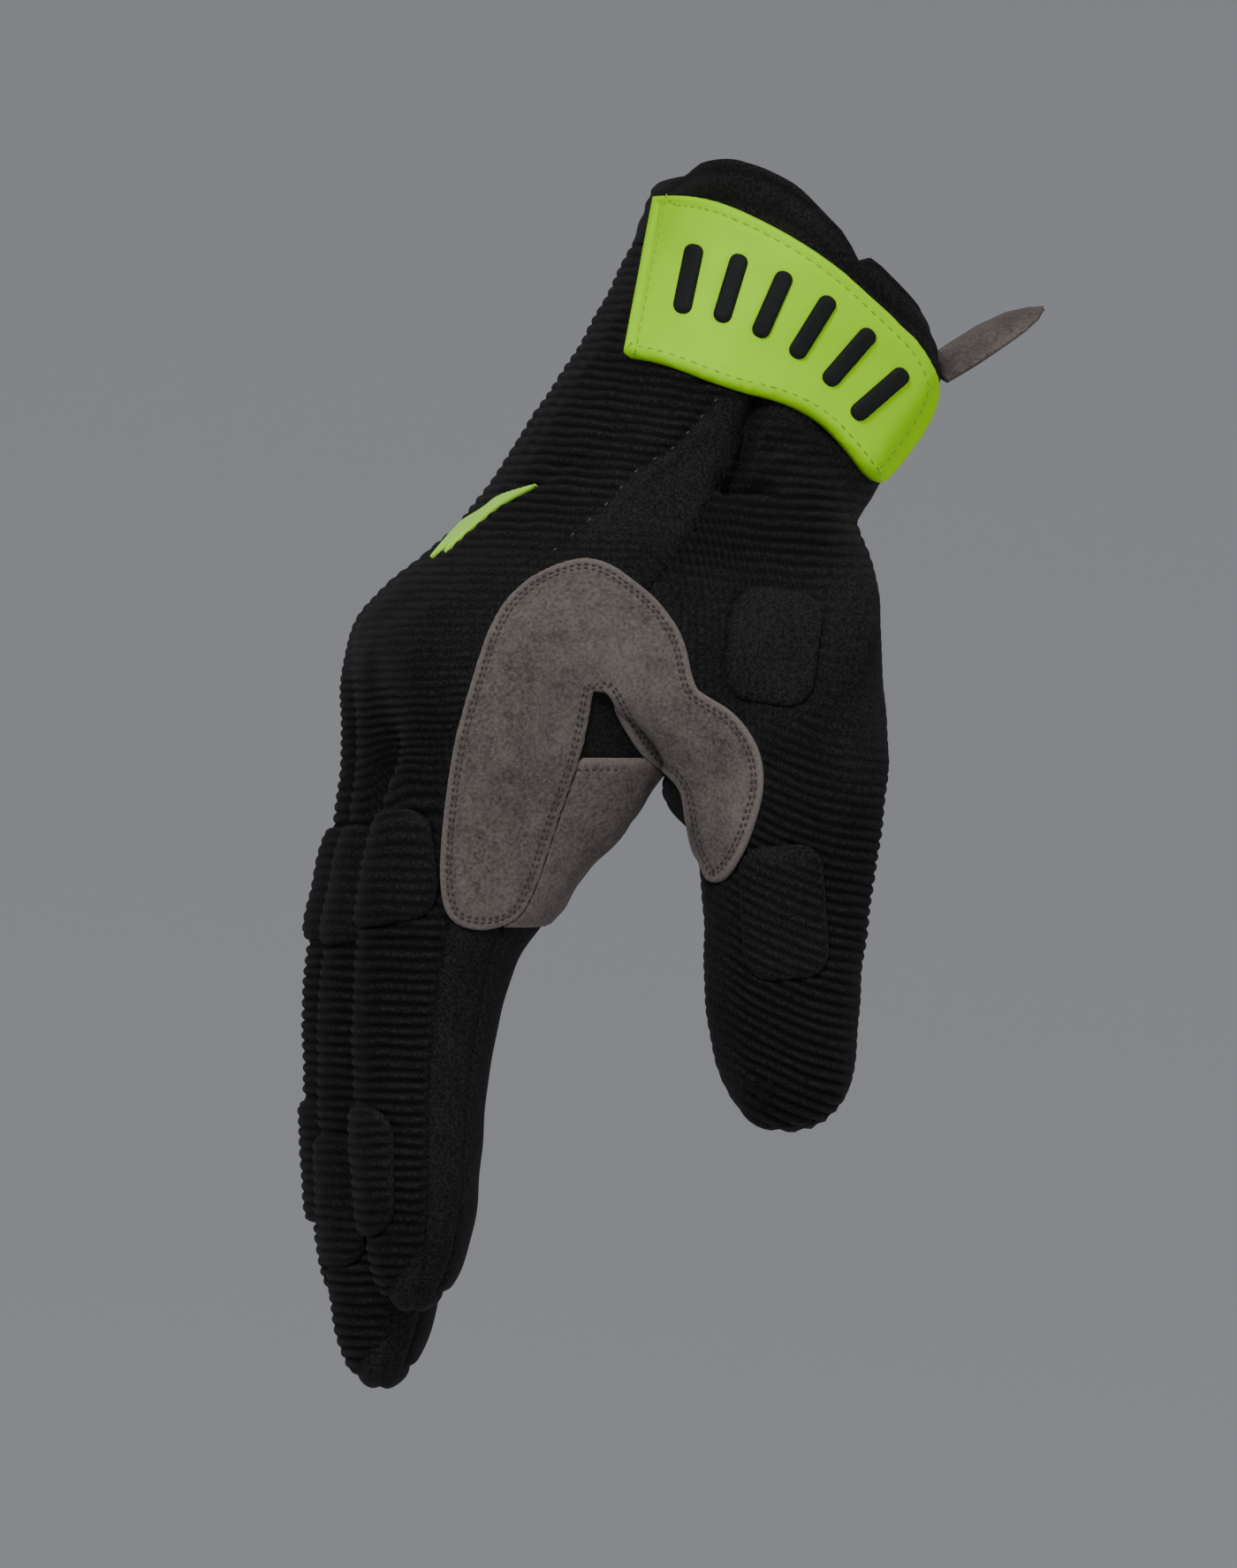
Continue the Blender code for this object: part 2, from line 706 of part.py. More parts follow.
def main():
    clear_scene()
    skin = Skin(build_cage(), 1)
    for name in sorted(set(skin.panels)):
        panel_solid(skin, name, "rib_knit" if name.endswith("_back") else "plain_knit")
    drawn_on(skin, "crotch_patch", CROTCH_PATCH, GAP, SUEDE, "suede")
    palm_patch(skin)
    drawn_on(skin, "strap", STRAP_OUTLINE, GAP, STRAP, "lime_rubber", far=-0.02, facing=1.1)
    drawn_on(skin, "back_accent", ACCENT_OUTLINE, GAP, TRIM, "lime_tape", far=0.0)
    for pad in PADS:
        outline = rounded_rectangle(pad)
        drawn_on(skin, pad.name, outline, GAP, PAD, "plain_knit", pad.near, pad.far, facing=0.8)
    strap_grips(skin)
    pull_tab()


main()
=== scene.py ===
"""The look of a right-hand riding glove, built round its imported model.

The hand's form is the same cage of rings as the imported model's, smoothed and read as finely as each piece
needs. Panels are closed walls of cloth over it. Their ribs are raised by a node tree. Patches, pads and the
strap are sheets cut from the form by outlines drawn from the thumb side, and stitches follow those outlines.
"""

import json
import math
from typing import NamedTuple

import bmesh
import bpy
import numpy as np
from bpy.props import FloatProperty, FloatVectorProperty, IntProperty, PointerProperty
from bpy.types import Operator, Panel, PropertyGroup
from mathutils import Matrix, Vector
from mathutils.bvhtree import BVHTree
from mathutils.kdtree import KDTree

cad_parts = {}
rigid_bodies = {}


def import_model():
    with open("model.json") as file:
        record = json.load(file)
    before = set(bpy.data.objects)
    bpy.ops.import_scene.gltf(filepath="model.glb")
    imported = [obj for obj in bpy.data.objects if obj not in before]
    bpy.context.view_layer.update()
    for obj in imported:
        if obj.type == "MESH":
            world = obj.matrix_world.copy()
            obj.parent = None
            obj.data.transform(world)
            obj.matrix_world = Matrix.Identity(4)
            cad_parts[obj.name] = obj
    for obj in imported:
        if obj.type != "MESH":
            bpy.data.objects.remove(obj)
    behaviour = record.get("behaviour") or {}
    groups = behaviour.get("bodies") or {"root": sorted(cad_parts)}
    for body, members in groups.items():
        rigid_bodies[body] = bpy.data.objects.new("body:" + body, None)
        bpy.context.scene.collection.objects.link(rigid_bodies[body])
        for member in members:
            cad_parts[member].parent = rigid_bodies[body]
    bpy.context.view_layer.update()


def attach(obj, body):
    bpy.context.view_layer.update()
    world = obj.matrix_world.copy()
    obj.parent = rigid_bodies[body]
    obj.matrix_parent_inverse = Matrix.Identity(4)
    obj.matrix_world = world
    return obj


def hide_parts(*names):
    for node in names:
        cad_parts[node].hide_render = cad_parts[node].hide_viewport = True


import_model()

bl_info = {
    "name": "Riding glove",
    "version": (1, 0, 0),
    "blender": (4, 5, 0),
    "location": "3D View > Sidebar > Glove",
    "description": "Builds a worn riding glove with ribbed cloth, suede patches, pads and a wrist strap",
    "category": "Add Mesh",
}

BODY_NAME = "root"
BREADTH = 0.100  # across the knuckles; the tables of the form hold shares of it

# How the form is smoothed and read
FIT_ROUNDS = 12
SAMPLES = 8  # steps on each side of a cage face at which the smoothed form is read
YAW = math.radians(7.0)  # of the line of sight along which the outlines are drawn
SIGHT = np.array((math.sin(YAW), math.cos(YAW), 0.0))
OUTLINE_Y = -0.30  # share; outlines are drawn on the plane at this depth
BODY_ROUND = 2.5
FINGER_ROUND = 2.2
THUMB_ROUND = 2.3
SIDE_ANGLE = math.radians(38.0)
CAP = -1  # row of the faces that close a tip


class Section(NamedTuple):
    back_x: float
    back_z: float
    palm_x: float
    palm_z: float
    middle_y: float
    half: float
    lift: float = 0.0
    groove: float = 0.0
    hollow: float = 0.0


class Finger(NamedTuple):
    name: str
    middle_y: float
    half: float
    shift_x: float
    tip_z: float


class Along(NamedTuple):
    share: float  # of the way from the root to the tip
    back_x: float
    palm_x: float
    half: float
    slant: float


class Dent(NamedTuple):
    x: float
    y: float
    z: float
    radius: float
    depth: float


BODY = (
    Section(-0.198, 0.118, 0.262, -0.118, 0.040, 0.330, 0.080),
    Section(-0.2305, 0.030, 0.280, -0.238, 0.030, 0.335, 0.045),
    Section(-0.323, -0.150, 0.176, -0.402, 0.015, 0.350, 0.010),
    Section(-0.408, -0.276, 0.108, -0.550, 0.000, 0.385, 0.0, 0.0, 0.020),
    Section(-0.528, -0.450, 0.020, -0.680, 0.000, 0.430, 0.0, 0.0, 0.055),
    Section(-0.676, -0.578, -0.130, -0.855, 0.000, 0.462, 0.0, 0.004, 0.065),
    Section(-0.732, -0.722, -0.235, -0.980, 0.000, 0.470, 0.0, 0.016, 0.040),
)
RIM_TILT = 0.8
# How far the cuff's rim stands above the smooth form on the thumb's side, in millimetres
RIM = (
    (-0.26, 0.0), (-0.22, 1.2), (-0.17, 2.2), (-0.12, 1.0), (-0.08, 0.2), (0.00, -0.5), (0.06, -1.5), (0.11, -1.5),
    (0.14, -0.4), (0.20, 0.0),
)
THUMB_ROWS = (2, 5)

FINGERS = (
    Finger("index", -0.3360, 0.112, 0.000, -1.80),
    Finger("middle", -0.1000, 0.114, -0.032, -1.940),
    Finger("ring", 0.1310, 0.109, -0.040, -1.82),
    Finger("little", 0.3450, 0.099, -0.015, -1.66),
)
ROOT_Z = -1.030
FINGER = (
    Along(0.00, -0.695, -0.440, 1.02, 0.120),
    Along(0.22, -0.746, -0.491, 1.00, 0.042),
    Along(0.50, -0.754, -0.528, 0.98, 0.006),
    Along(0.80, -0.738, -0.550, 0.93, 0.000),
    Along(0.955, -0.707, -0.598, 0.63, 0.000),
)
TIP_X = -0.655
FINGER_ANGLES = (-90, -45, 0, 45, 90, 128, 180, -128)

THUMB = (
    Section(0.132, -0.545, -0.230, -0.905, -0.335, 0.172),
    Section(0.140, -0.700, -0.190, -0.980, -0.365, 0.158),
    Section(0.148, -0.860, -0.172, -1.045, -0.385, 0.148),
    Section(0.118, -1.080, -0.166, -1.130, -0.405, 0.136),
    Section(0.094, -1.270, -0.165, -1.270, -0.425, 0.126),
    Section(0.078, -1.405, -0.142, -1.395, -0.440, 0.108),
)
THUMB_TIP = (-0.030, -1.470)
THUMB_CAP = 0.048
THUMB_BACK = range(2, 7)

DENTS = (
    Dent(-0.090, -0.33, -0.360, 0.075, 0.030),
    Dent(-0.300, 0.00, -0.820, 0.200, 0.035),
    Dent(-0.470, -0.45, -0.960, 0.060, 0.010),
    Dent(-0.240, -0.10, 0.080, 0.140, 0.022),
)

# Outlines on the drawing plane, as shares of the breadth
STRAP_OUTLINE = (
    (-0.235, 0.106), (-0.170, 0.100), (-0.110, 0.082), (-0.017, 0.036), (0.077, -0.024), (0.170, -0.108),
    (0.228, -0.162), (0.262, -0.246), (0.156, -0.394), (0.133, -0.382), (0.095, -0.333), (0.049, -0.286),
    (-0.017, -0.252), (-0.110, -0.233), (-0.222, -0.187), (-0.290, -0.173),
)
STRAP_CORNERS = (0, 15)
CROTCH_PATCH = (
    (-0.375, -0.517), (-0.320, -0.525), (-0.270, -0.560), (-0.232, -0.592), (-0.188, -0.652), (-0.172, -0.742),
    (-0.150, -0.755), (-0.098, -0.787), (-0.060, -0.847), (-0.052, -0.907), (-0.068, -0.967), (-0.090, -1.020),
    (-0.120, -1.065), (-0.150, -1.073), (-0.161, -1.050), (-0.180, -1.012), (-0.188, -0.967), (-0.195, -0.922),
    (-0.208, -0.900), (-0.235, -0.880), (-0.262, -0.852), (-0.295, -0.800), (-0.320, -0.752), (-0.342, -0.750),
    (-0.352, -0.817), (-0.368, -0.877), (-0.390, -0.937), (-0.412, -1.000), (-0.435, -1.072), (-0.465, -1.135),
    (-0.525, -1.155), (-0.585, -1.140), (-0.604, -1.090), (-0.603, -0.997), (-0.585, -0.847), (-0.555, -0.742),
    (-0.517, -0.622), (-0.462, -0.555),
)
CROTCH_CORNERS = (22, 23)
# The trim as worn: its lower end is split
ACCENT_TRIM = (
    (-0.438, -0.392), (-0.485, -0.4034), (-0.512, -0.4127), (-0.5304, -0.4287), (-0.557, -0.4433),
    (-0.578, -0.455), (-0.626, -0.516), (-0.592, -0.492), (-0.601, -0.508), (-0.5676, -0.4754),
    (-0.5436, -0.4567), (-0.517, -0.4352), (-0.4905, -0.4193), (-0.4637, -0.4061),
)


class Pad(NamedTuple):
    """A raised rounded rectangle on the drawing plane, lying between two depths."""

    name: str
    panels: tuple
    x: float
    z: float
    wide: float
    tall: float
    lean: float
    near: float
    far: float
    ribs: float  # strength of the ribs that run on over it


THUMB_SIDE = ("thumb_back", "thumb_front")
INDEX_SIDE = ("hand_back", "index_back", "index_band")
MIDDLE_SIDE = ("hand_back", "middle_back", "middle_band")
RING_SIDE = ("hand_back", "ring_back", "ring_band")
PADS = (
    Pad("thumb_base_pad", THUMB_SIDE, -0.037, -0.670, 0.155, 0.195, -8, -1.00, -0.30, 0.10),
    Pad("thumb_pad", THUMB_SIDE, -0.020, -1.120, 0.150, 0.225, 4, -1.00, -0.30, 0.80),
    Pad("index_knuckle_pad", INDEX_SIDE, -0.715, -1.045, 0.210, 0.190, 8, -1.00, -0.245, 0.80),
    Pad("index_pad", INDEX_SIDE, -0.775, -1.560, 0.180, 0.220, 0, -1.00, -0.245, 0.90),
    Pad("middle_knuckle_pad", MIDDLE_SIDE, -0.800, -1.075, 0.210, 0.200, 4, -0.200, -0.010, 0.70),
    Pad("middle_pad", MIDDLE_SIDE, -0.820, -1.615, 0.180, 0.220, 0, -0.200, -0.010, 0.90),
    Pad("ring_knuckle_pad", RING_SIDE, -0.840, -1.075, 0.210, 0.190, 4, 0.035, 0.220, 0.70),
    Pad("ring_pad", RING_SIDE, -0.860, -1.555, 0.180, 0.210, 0, 0.035, 0.220, 0.90),
)
CORNER = 0.30  # of a pad's outline, as a share of its shorter side

# The palm's suede patch, drawn in y and z and seen from the palm side: one end runs on down the index finger
PALM_PATCH = (
    (-0.480, -0.8595), (0.400, -0.8595), (0.400, -1.000), (0.250, -1.015), (-0.190, -1.015), (-0.240, -1.050),
    (-0.290, -1.110), (-0.350, -1.145), (-0.480, -1.145),
)
PALM_CORNERS = (0, 8)

PALM_HEM = ((-0.3675, -0.880), (-0.305, -0.880))  # the visible run of its sewn hem, on the drawing plane

# Raised bars on the strap: middles on the drawing plane, and the lean of each in degrees
GRIPS = (
    (-0.180, -0.045, -12),
    (-0.108, -0.062, -17),
    (-0.037, -0.090, -24),
    (0.032, -0.128, -32),
    (0.095, -0.178, -41),
    (0.148, -0.240, -49),
)
GRIP_WIDE, GRIP_TALL = 0.032, 0.122


class TabStep(NamedTuple):
    x: float
    z: float
    half: float
    thick: float


TAB_Y = -0.040
TAB_TURN = math.radians(13.0)  # how far its broad side turns to the thumb side
TAB_STEPS = (
    TabStep(0.279, -0.196, 0.080, 1.0),
    TabStep(0.325, -0.164, 0.088, 1.0),
    TabStep(0.375, -0.130, 0.088, 1.0),
    TabStep(0.420, -0.104, 0.078, 0.9),
    TabStep(0.452, -0.090, 0.052, 0.8),
    TabStep(0.470, -0.085, 0.020, 0.5),
)


class Crease(NamedTuple):
    """A furrow (or, with a negative depth, a fold) along a line on the drawing plane."""

    points: tuple
    width: float
    depth: float
    far: float = -0.05  # depth past which it leaves the cloth alone


BACK_SEAM = ((-0.470, -0.405), (-0.4395, -0.390), (-0.300, -0.3075), (-0.1665, -0.2265), (-0.120, -0.200))
THREAD_SEAM = ((-0.408, -0.507), (-0.330, -0.440), (-0.267, -0.3705), (-0.201, -0.330), (-0.1335, -0.252))
GUSSET_SEAM = ((-0.330, -0.520), (-0.309, -0.459), (-0.234, -0.390), (-0.0975, -0.288), (-0.057, -0.255))
CREASES = (
    Crease(BACK_SEAM, 0.010, 0.007),
    Crease(THREAD_SEAM, 0.011, 0.010),
    Crease(GUSSET_SEAM, 0.013, 0.009),
    Crease(((-0.118, -0.395), (-0.100, -0.370), (-0.086, -0.330), (-0.070, -0.285), (-0.055, -0.250)), 0.017, 0.032),
    Crease(((-0.125, -0.396), (-0.085, -0.406), (-0.035, -0.395)), 0.012, 0.018),
    Crease(((-0.075, -0.385), (-0.062, -0.340), (-0.045, -0.300)), 0.015, -0.010),
    Crease(((-0.045, -0.380), (0.000, -0.368), (0.045, -0.335), (0.075, -0.300)), 0.022, 0.008),
    Crease(((-0.040, -0.330), (0.010, -0.318), (0.060, -0.296)), 0.016, 0.006),
    Crease(((-0.035, -0.352), (0.005, -0.345), (0.050, -0.318)), 0.013, -0.006),
    Crease(((-0.145, -0.300), (-0.112, -0.330), (-0.105, -0.360)), 0.016, -0.006),
    Crease(((0.062, -0.420), (0.110, -0.440), (0.150, -0.500)), 0.025, 0.004),
    Crease(((-0.700, -1.175), (-0.600, -1.180)), 0.014, 0.010),
)

# Ribs: pitch of the ribs by height, and the fall of their lines, as shares of the breadth
PITCHES = ((0.20, 0.0165), (-0.45, 0.0160), (-0.62, 0.0140), (-0.80, 0.0170), (-0.95, 0.0195), (-1.20, 0.0185), (-2.2, 0.0185))
FALLS = ((0.10, 0.20), (-0.30, 0.13), (-0.50, 0.04), (-0.70, -0.04), (-0.90, 0.00), (-1.20, 0.02), (-2.0, 0.02))
BACK_RIBS = ((0.20, 0.95), (-0.42, 1.00), (-0.52, 0.60), (-0.66, 0.55), (-0.78, 0.95), (-0.92, 1.20), (-2.20, 1.05))
THUMB_PITCH = 0.0190
THUMB_FALLS = ((-0.20, 0.25), (-0.60, 0.30), (-0.72, 0.80), (-0.82, 1.45), (-0.95, 1.50), (-1.10, 1.40), (-1.50, 1.50))
# Height, then strength of the thumb's ribs at its left and right side
THUMB_RIBS = (
    (-0.20, 0.50, 0.60), (-0.36, 0.90, 0.60), (-0.42, 1.50, 0.60), (-0.50, 1.50, 0.45), (-0.57, 0.70, 0.15),
    (-0.78, 0.65, 0.15), (-0.86, 1.10, 0.40), (-1.00, 1.20, 1.00), (-1.60, 1.20, 1.10),
)


class FabricSizes(PropertyGroup):
    """Thicknesses and reliefs of the cloth."""

    rib_step: FloatProperty(name="Step on ribs", description="Mesh step along ribbed cloth", default=0.00032, unit="LENGTH")
    plain_step: FloatProperty(name="Step on plain", description="Mesh step along plain cloth", default=0.0008, unit="LENGTH")
    wall: FloatProperty(name="Wall", description="Thickness of a panel", default=0.0013, unit="LENGTH")
    rib: FloatProperty(name="Rib height", description="Height of a rib", default=0.00064, unit="LENGTH")
    seam: FloatProperty(name="Seam depth", description="Depth of a sewn seam", default=0.0006, unit="LENGTH")
    seam_width: FloatProperty(name="Seam width", description="Width of a seam", default=0.0008, unit="LENGTH")
    gap: FloatProperty(name="Gap", description="Gap below a laid-on piece", default=0.0003, unit="LENGTH")
    suede: FloatProperty(name="Suede", description="Thickness of the suede", default=0.0011, unit="LENGTH")
    pad: FloatProperty(name="Pad", description="Height of a pad", default=0.0011, unit="LENGTH")
    strap: FloatProperty(name="Strap", description="Thickness of the strap", default=0.0022, unit="LENGTH")
    grip: FloatProperty(name="Grip", description="Height of a bar on the strap", default=0.0009, unit="LENGTH")
    trim: FloatProperty(name="Trim", description="Thickness of the lime trim", default=0.0006, unit="LENGTH")
    tab: FloatProperty(name="Tab", description="Thickness of the pull tab", default=0.0013, unit="LENGTH")


class StitchSizes(PropertyGroup):
    """Sizes of the stitches."""

    pitch: FloatProperty(name="Pitch", description="From stitch to stitch", default=0.00125, unit="LENGTH")
    length: FloatProperty(name="Length", description="Length of a stitch", default=0.00074, unit="LENGTH")
    thick: FloatProperty(name="Thread", description="Radius of the thread", default=0.00022, unit="LENGTH")
    inset: FloatProperty(name="Inset", description="From the edge to the row", default=0.00125, unit="LENGTH")
    rows: FloatProperty(name="Row gap", description="Between two rows", default=0.00070, unit="LENGTH")
    sides: IntProperty(name="Sides", description="Sides of a stitch", default=6, min=3, max=16)


def colour_property(name, value, description):
    return FloatVectorProperty(
        name=name, description=description, default=value, subtype="COLOR", size=3, min=0.0, max=1.0
    )


class Colours(PropertyGroup):
    """Colours of the glove and its thread."""

    cloth: colour_property("Cloth", (0.0100, 0.0098, 0.0094), "Raised parts of the black cloth")
    # Hollows is painted shade: the colour the cloth darkens to between the ribs and in the cuff's fold lines.
    hollow: colour_property("Hollows", (0.0012, 0.0012, 0.0012), "Hollows between the ribs")
    plain: colour_property("Plain cloth", (0.0085, 0.0083, 0.0080), "Black cloth without ribs")
    suede: colour_property("Suede", (0.156, 0.131, 0.121), "Brown-grey suede")
    suede_dark: colour_property("Suede, dark", (0.047, 0.038, 0.034), "Darker nap of the suede")
    lime: colour_property("Lime", (0.400, 0.900, 0.000), "Rubber of the strap")
    bars: colour_property("Bars", (0.0095, 0.0105, 0.0100), "Rubber of the bars on the strap")
    thread: colour_property("Thread", (0.011, 0.009, 0.008), "Dark sewing thread")
    floor: colour_property("Floor", (0.592, 0.598, 0.626), "Floor and backdrop")


class StageSizes(PropertyGroup):
    """Camera, floor and lights."""

    distance: FloatProperty(name="Distance", description="Camera to glove", default=2.5, unit="LENGTH")
    lens: FloatProperty(name="Lens", description="Focal length in millimetres", default=338.0)
    floor_z: FloatProperty(name="Floor", description="Height of the floor", default=-0.45, unit="LENGTH")
    room: FloatProperty(name="Room", description="Half width of the floor", default=6.0, unit="LENGTH")


def settings():
    return bpy.context.scene.glove


# The cage of the form


def rounded(angle, roundness):
    """The two coordinates, as shares, of a point on a rounded section."""
    power = 2.0 / roundness
    c, s = math.cos(angle), math.sin(angle)
    return math.copysign(abs(c) ** power, c), math.copysign(abs(s) ** power, s)


def section_point(row, across, out):
    """A point of a section: across runs from the thumb side (-1), out from the palm (-1) to the back (+1)."""
    back = np.array((row.back_x, 0.0, row.back_z))
    palm = np.array((row.palm_x, 0.0, row.palm_z))
    half = (back - palm) / 2
    up = np.array((half[2], 0.0, -half[0])) / np.linalg.norm(half)
    side = np.array((0.0, row.middle_y + row.half * across, 0.0))
    lift = row.lift * across**2 * (1 + RIM_TILT * out)
    return (back + palm) / 2 + half * out + side + up * lift


def finger_bounds():
    """Where one finger ends and the next begins, as shares of the hand's half breadth."""
    first, last = FINGERS[0], FINGERS[-1]
    edges = [first.middle_y - first.half]
    for a, b in zip(FINGERS, FINGERS[1:]):
        edges.append((a.middle_y + a.half + b.middle_y - b.half) / 2)
    edges.append(last.middle_y + last.half)
    middle, half = (edges[0] + edges[-1]) / 2, (edges[-1] - edges[0]) / 2
    return [(edge - middle) / half for edge in edges]


def angle_at(across):
    """The angle from the thumb side at which a body section has this breadth."""
    turn = math.acos(min(1.0, abs(across)) ** (BODY_ROUND / 2))
    return turn if across < 0 else math.pi - turn


def body_ring(row):
    """17 points over the back from the thumb side, then 9 over the palm on the way back."""
    bounds = [angle_at(b) for b in finger_bounds()]
    back = [np.interp(k / 4, range(5), bounds) for k in range(17)]
    low = [SIDE_ANGLE, *bounds[1:4], math.pi - SIDE_ANGLE]
    front = [np.interp(k / 2, range(5), low) for k in range(8, -1, -1)]
    points = []
    for k, angle in enumerate(back):
        c, s = rounded(angle, BODY_ROUND)
        dip = row.groove * (1 - math.sin(math.pi * (k % 4) / 4)) if 0 < k < 16 else 0.0
        points.append(section_point(row, -c, s) + np.array((dip, 0.0, -dip * 0.4)))
    for angle in front:
        c, s = rounded(angle, BODY_ROUND)
        cup = row.hollow * max(0.0, 1 - ((c - 0.1) / 0.75) ** 2)
        points.append(section_point(row, -c, -s) - np.array((cup, 0.0, 0.0)))
    return points


def finger_ring(finger, along):
    """Eight points round a finger, from its thumb side over the back."""
    size = finger.half / FINGERS[0].half
    centre = (along.back_x + along.palm_x) / 2 + finger.shift_x
    deep = (along.palm_x - along.back_x) / 2 * size
    z = ROOT_Z + (finger.tip_z - ROOT_Z) * along.share
    points = []
    for degrees in FINGER_ANGLES:
        out, across = rounded(math.radians(degrees), FINGER_ROUND)
        y = finger.middle_y + finger.half * along.half * across
        points.append(np.array((centre - deep * out, y, z + along.slant * out)))
    return points


def thumb_ring(row):
    """Twelve points round the thumb, in the order of the opening that it grows from."""
    return [section_point(row, *reversed(rounded(math.radians(45 - 30 * k), THUMB_ROUND))) for k in range(12)]


class Cage:
    """Points and quads, each quad with its panel and its column and row on the form."""

    def __init__(self):
        self.points, self.faces, self.panels, self.columns, self.rows = [], [], [], [], []

    def add(self, points):
        start = len(self.points)
        self.points += points
        return list(range(start, len(self.points)))

    def quad(self, corners, panel, column, row):
        self.faces.append(tuple(corners))
        self.panels.append(panel)
        self.columns.append(column)
        self.rows.append(row)

    def bridge(self, first, second, panels, row):
        count = len(first)
        for i in range(count):
            if panels[i]:
                j = (i + 1) % count
                self.quad((first[i], first[j], second[j], second[i]), panels[i], i, row)


def web_ring():
    """The ring where the fingers leave the palm: neighbours share their two side points."""
    rings = [finger_ring(finger, FINGER[0]) for finger in FINGERS]
    back, front = [rings[0][0]], [rings[0][7]]
    for i, ring in enumerate(rings):
        after = rings[i + 1] if i + 1 < len(rings) else None
        back += ring[1:4] + [ring[4] if after is None else (ring[4] + after[0]) / 2]
        front += [ring[6], ring[5] if after is None else (ring[5] + after[7]) / 2]
    return back + front[::-1]


def add_fingers(cage, web):
    for f, finger in enumerate(FINGERS):
        front = [web[25 - 2 * f - k] for k in (2, 1, 0)]
        ring = web[4 * f : 4 * f + 5] + front
        names = [f"{finger.name}_{part}" for part in ["back"] * 4 + ["band"] + ["front"] * 2 + ["band"]]
        for row, along in enumerate(FINGER[1:]):
            following = cage.add(finger_ring(finger, along))
            cage.bridge(ring, following, names, row)
            ring = following
        tip = cage.add([np.array((TIP_X + finger.shift_x, finger.middle_y, finger.tip_z))])[0]
        for k, part in ((0, "back"), (2, "back"), (4, "band"), (6, "band")):
            corners = (ring[k], ring[k + 1], ring[(k + 2) % 8], tip)
            cage.quad(corners, f"{finger.name}_{part}", k, CAP)


def add_thumb(cage, rings):
    top, bottom = THUMB_ROWS
    edge = [rings[top][i] for i in (23, 24, 25, 0)]
    edge += [rings[r][0] for r in range(top + 1, bottom + 1)]
    edge += [rings[bottom][i] for i in (25, 24, 23)]
    edge += [rings[r][23] for r in range(bottom - 1, top, -1)]
    names = ["thumb_back" if i in THUMB_BACK else "thumb_front" for i in range(12)]
    ring = edge
    for number, row in enumerate(THUMB):
        following = cage.add(thumb_ring(row))
        cage.bridge(ring, following, names, number)
        ring = following
    x, z = THUMB_TIP
    y = THUMB[-1].middle_y
    corners = ((1, 1), (1, -1), (-1, -1), (-1, 1))
    a, b, c, d = cage.add([np.array((x + THUMB_CAP * i, y + THUMB_CAP * j, z)) for i, j in corners])
    inner = {a, b, c, d}
    rows = ((0, 1, 2, 3), (11, a, b, 4), (10, d, c, 5), (9, 8, 7, 6))
    grid = [[v if v in inner else ring[v] for v in row] for row in rows]
    for i in range(3):
        for j in range(3):
            corners = (grid[i][j], grid[i][j + 1], grid[i + 1][j + 1], grid[i + 1][j])
            cage.quad(corners, "thumb_back" if (i < 2 and j == 2) else "thumb_front", 3 + i, CAP)


def build_cage():
    cage = Cage()
    rings = [cage.add(body_ring(row)) for row in BODY]
    web = cage.add(web_ring())
    rings.append(web)
    for r, (first, second) in enumerate(zip(rings, rings[1:])):
        names = ["hand_back"] * 16 + ["palm"] * 10
        if r == 0:
            names = ["cuff"] * 26
        if THUMB_ROWS[0] <= r < THUMB_ROWS[1]:
            names[23:26] = [None] * 3
        cage.bridge(first, second, names, r)
    add_fingers(cage, web)
    add_thumb(cage, rings)
    return cage


def limit_weights(faces, count):
    """The matrix that takes a cage's points to where endless smoothing puts them."""
    weights = np.zeros((count, count))
    edges = {}
    for face in faces:
        for k in range(4):
            edges.setdefault(frozenset((face[k], face[(k + 1) % 4])), []).append(face)
    border = {}
    for edge, sides in edges.items():
        if len(sides) == 1:
            for v in edge:
                border.setdefault(v, []).extend(edge - {v})
    around, across = {}, {}
    for a, b in edges:
        around.setdefault(a, []).append(b)
        around.setdefault(b, []).append(a)
    for face in faces:
        for k in range(4):
            across.setdefault(face[k], []).append(face[(k + 2) % 4])
    for v in range(count):
        if v in border:
            weights[v, v] = 4 / 6
            weights[v, border[v]] = 1 / 6
            continue
        n = len(around.get(v, ()))
        if not n:
            weights[v, v] = 1.0
            continue
        whole = n * (n + 5)
        weights[v, v] += n * n / whole
        for u in around[v]:
            weights[v, u] += 4 / whole
        for u in across[v]:
            weights[v, u] += 1 / whole
    return weights


def fitted(points, faces):
    """Moves the cage out until the smoothed form passes through the tables' points."""
    target = np.array(points)
    weights = limit_weights(faces, len(points))
    cage = target.copy()
    for _ in range(FIT_ROUNDS):
        cage += 0.8 * (target - weights @ cage)
    return cage


def reading_matrices(count):
    """Weights and slopes that read a row of samples at even steps, by cubics through the nearest four."""
    values = np.zeros((count + 1, SAMPLES + 1))
    slopes = np.zeros((count + 1, SAMPLES + 1))
    for i, x in enumerate(np.linspace(0, SAMPLES, count + 1)):
        start = min(max(int(x) - 1, 0), SAMPLES - 3)
        nodes = range(start, start + 4)
        for j in nodes:
            others = [k for k in nodes if k != j]
            scale = math.prod(j - k for k in others)
            values[i, j] = math.prod(x - k for k in others) / scale
            slopes[i, j] = sum(math.prod(x - k for k in others if k != skip) for skip in others) / scale
    return values, slopes


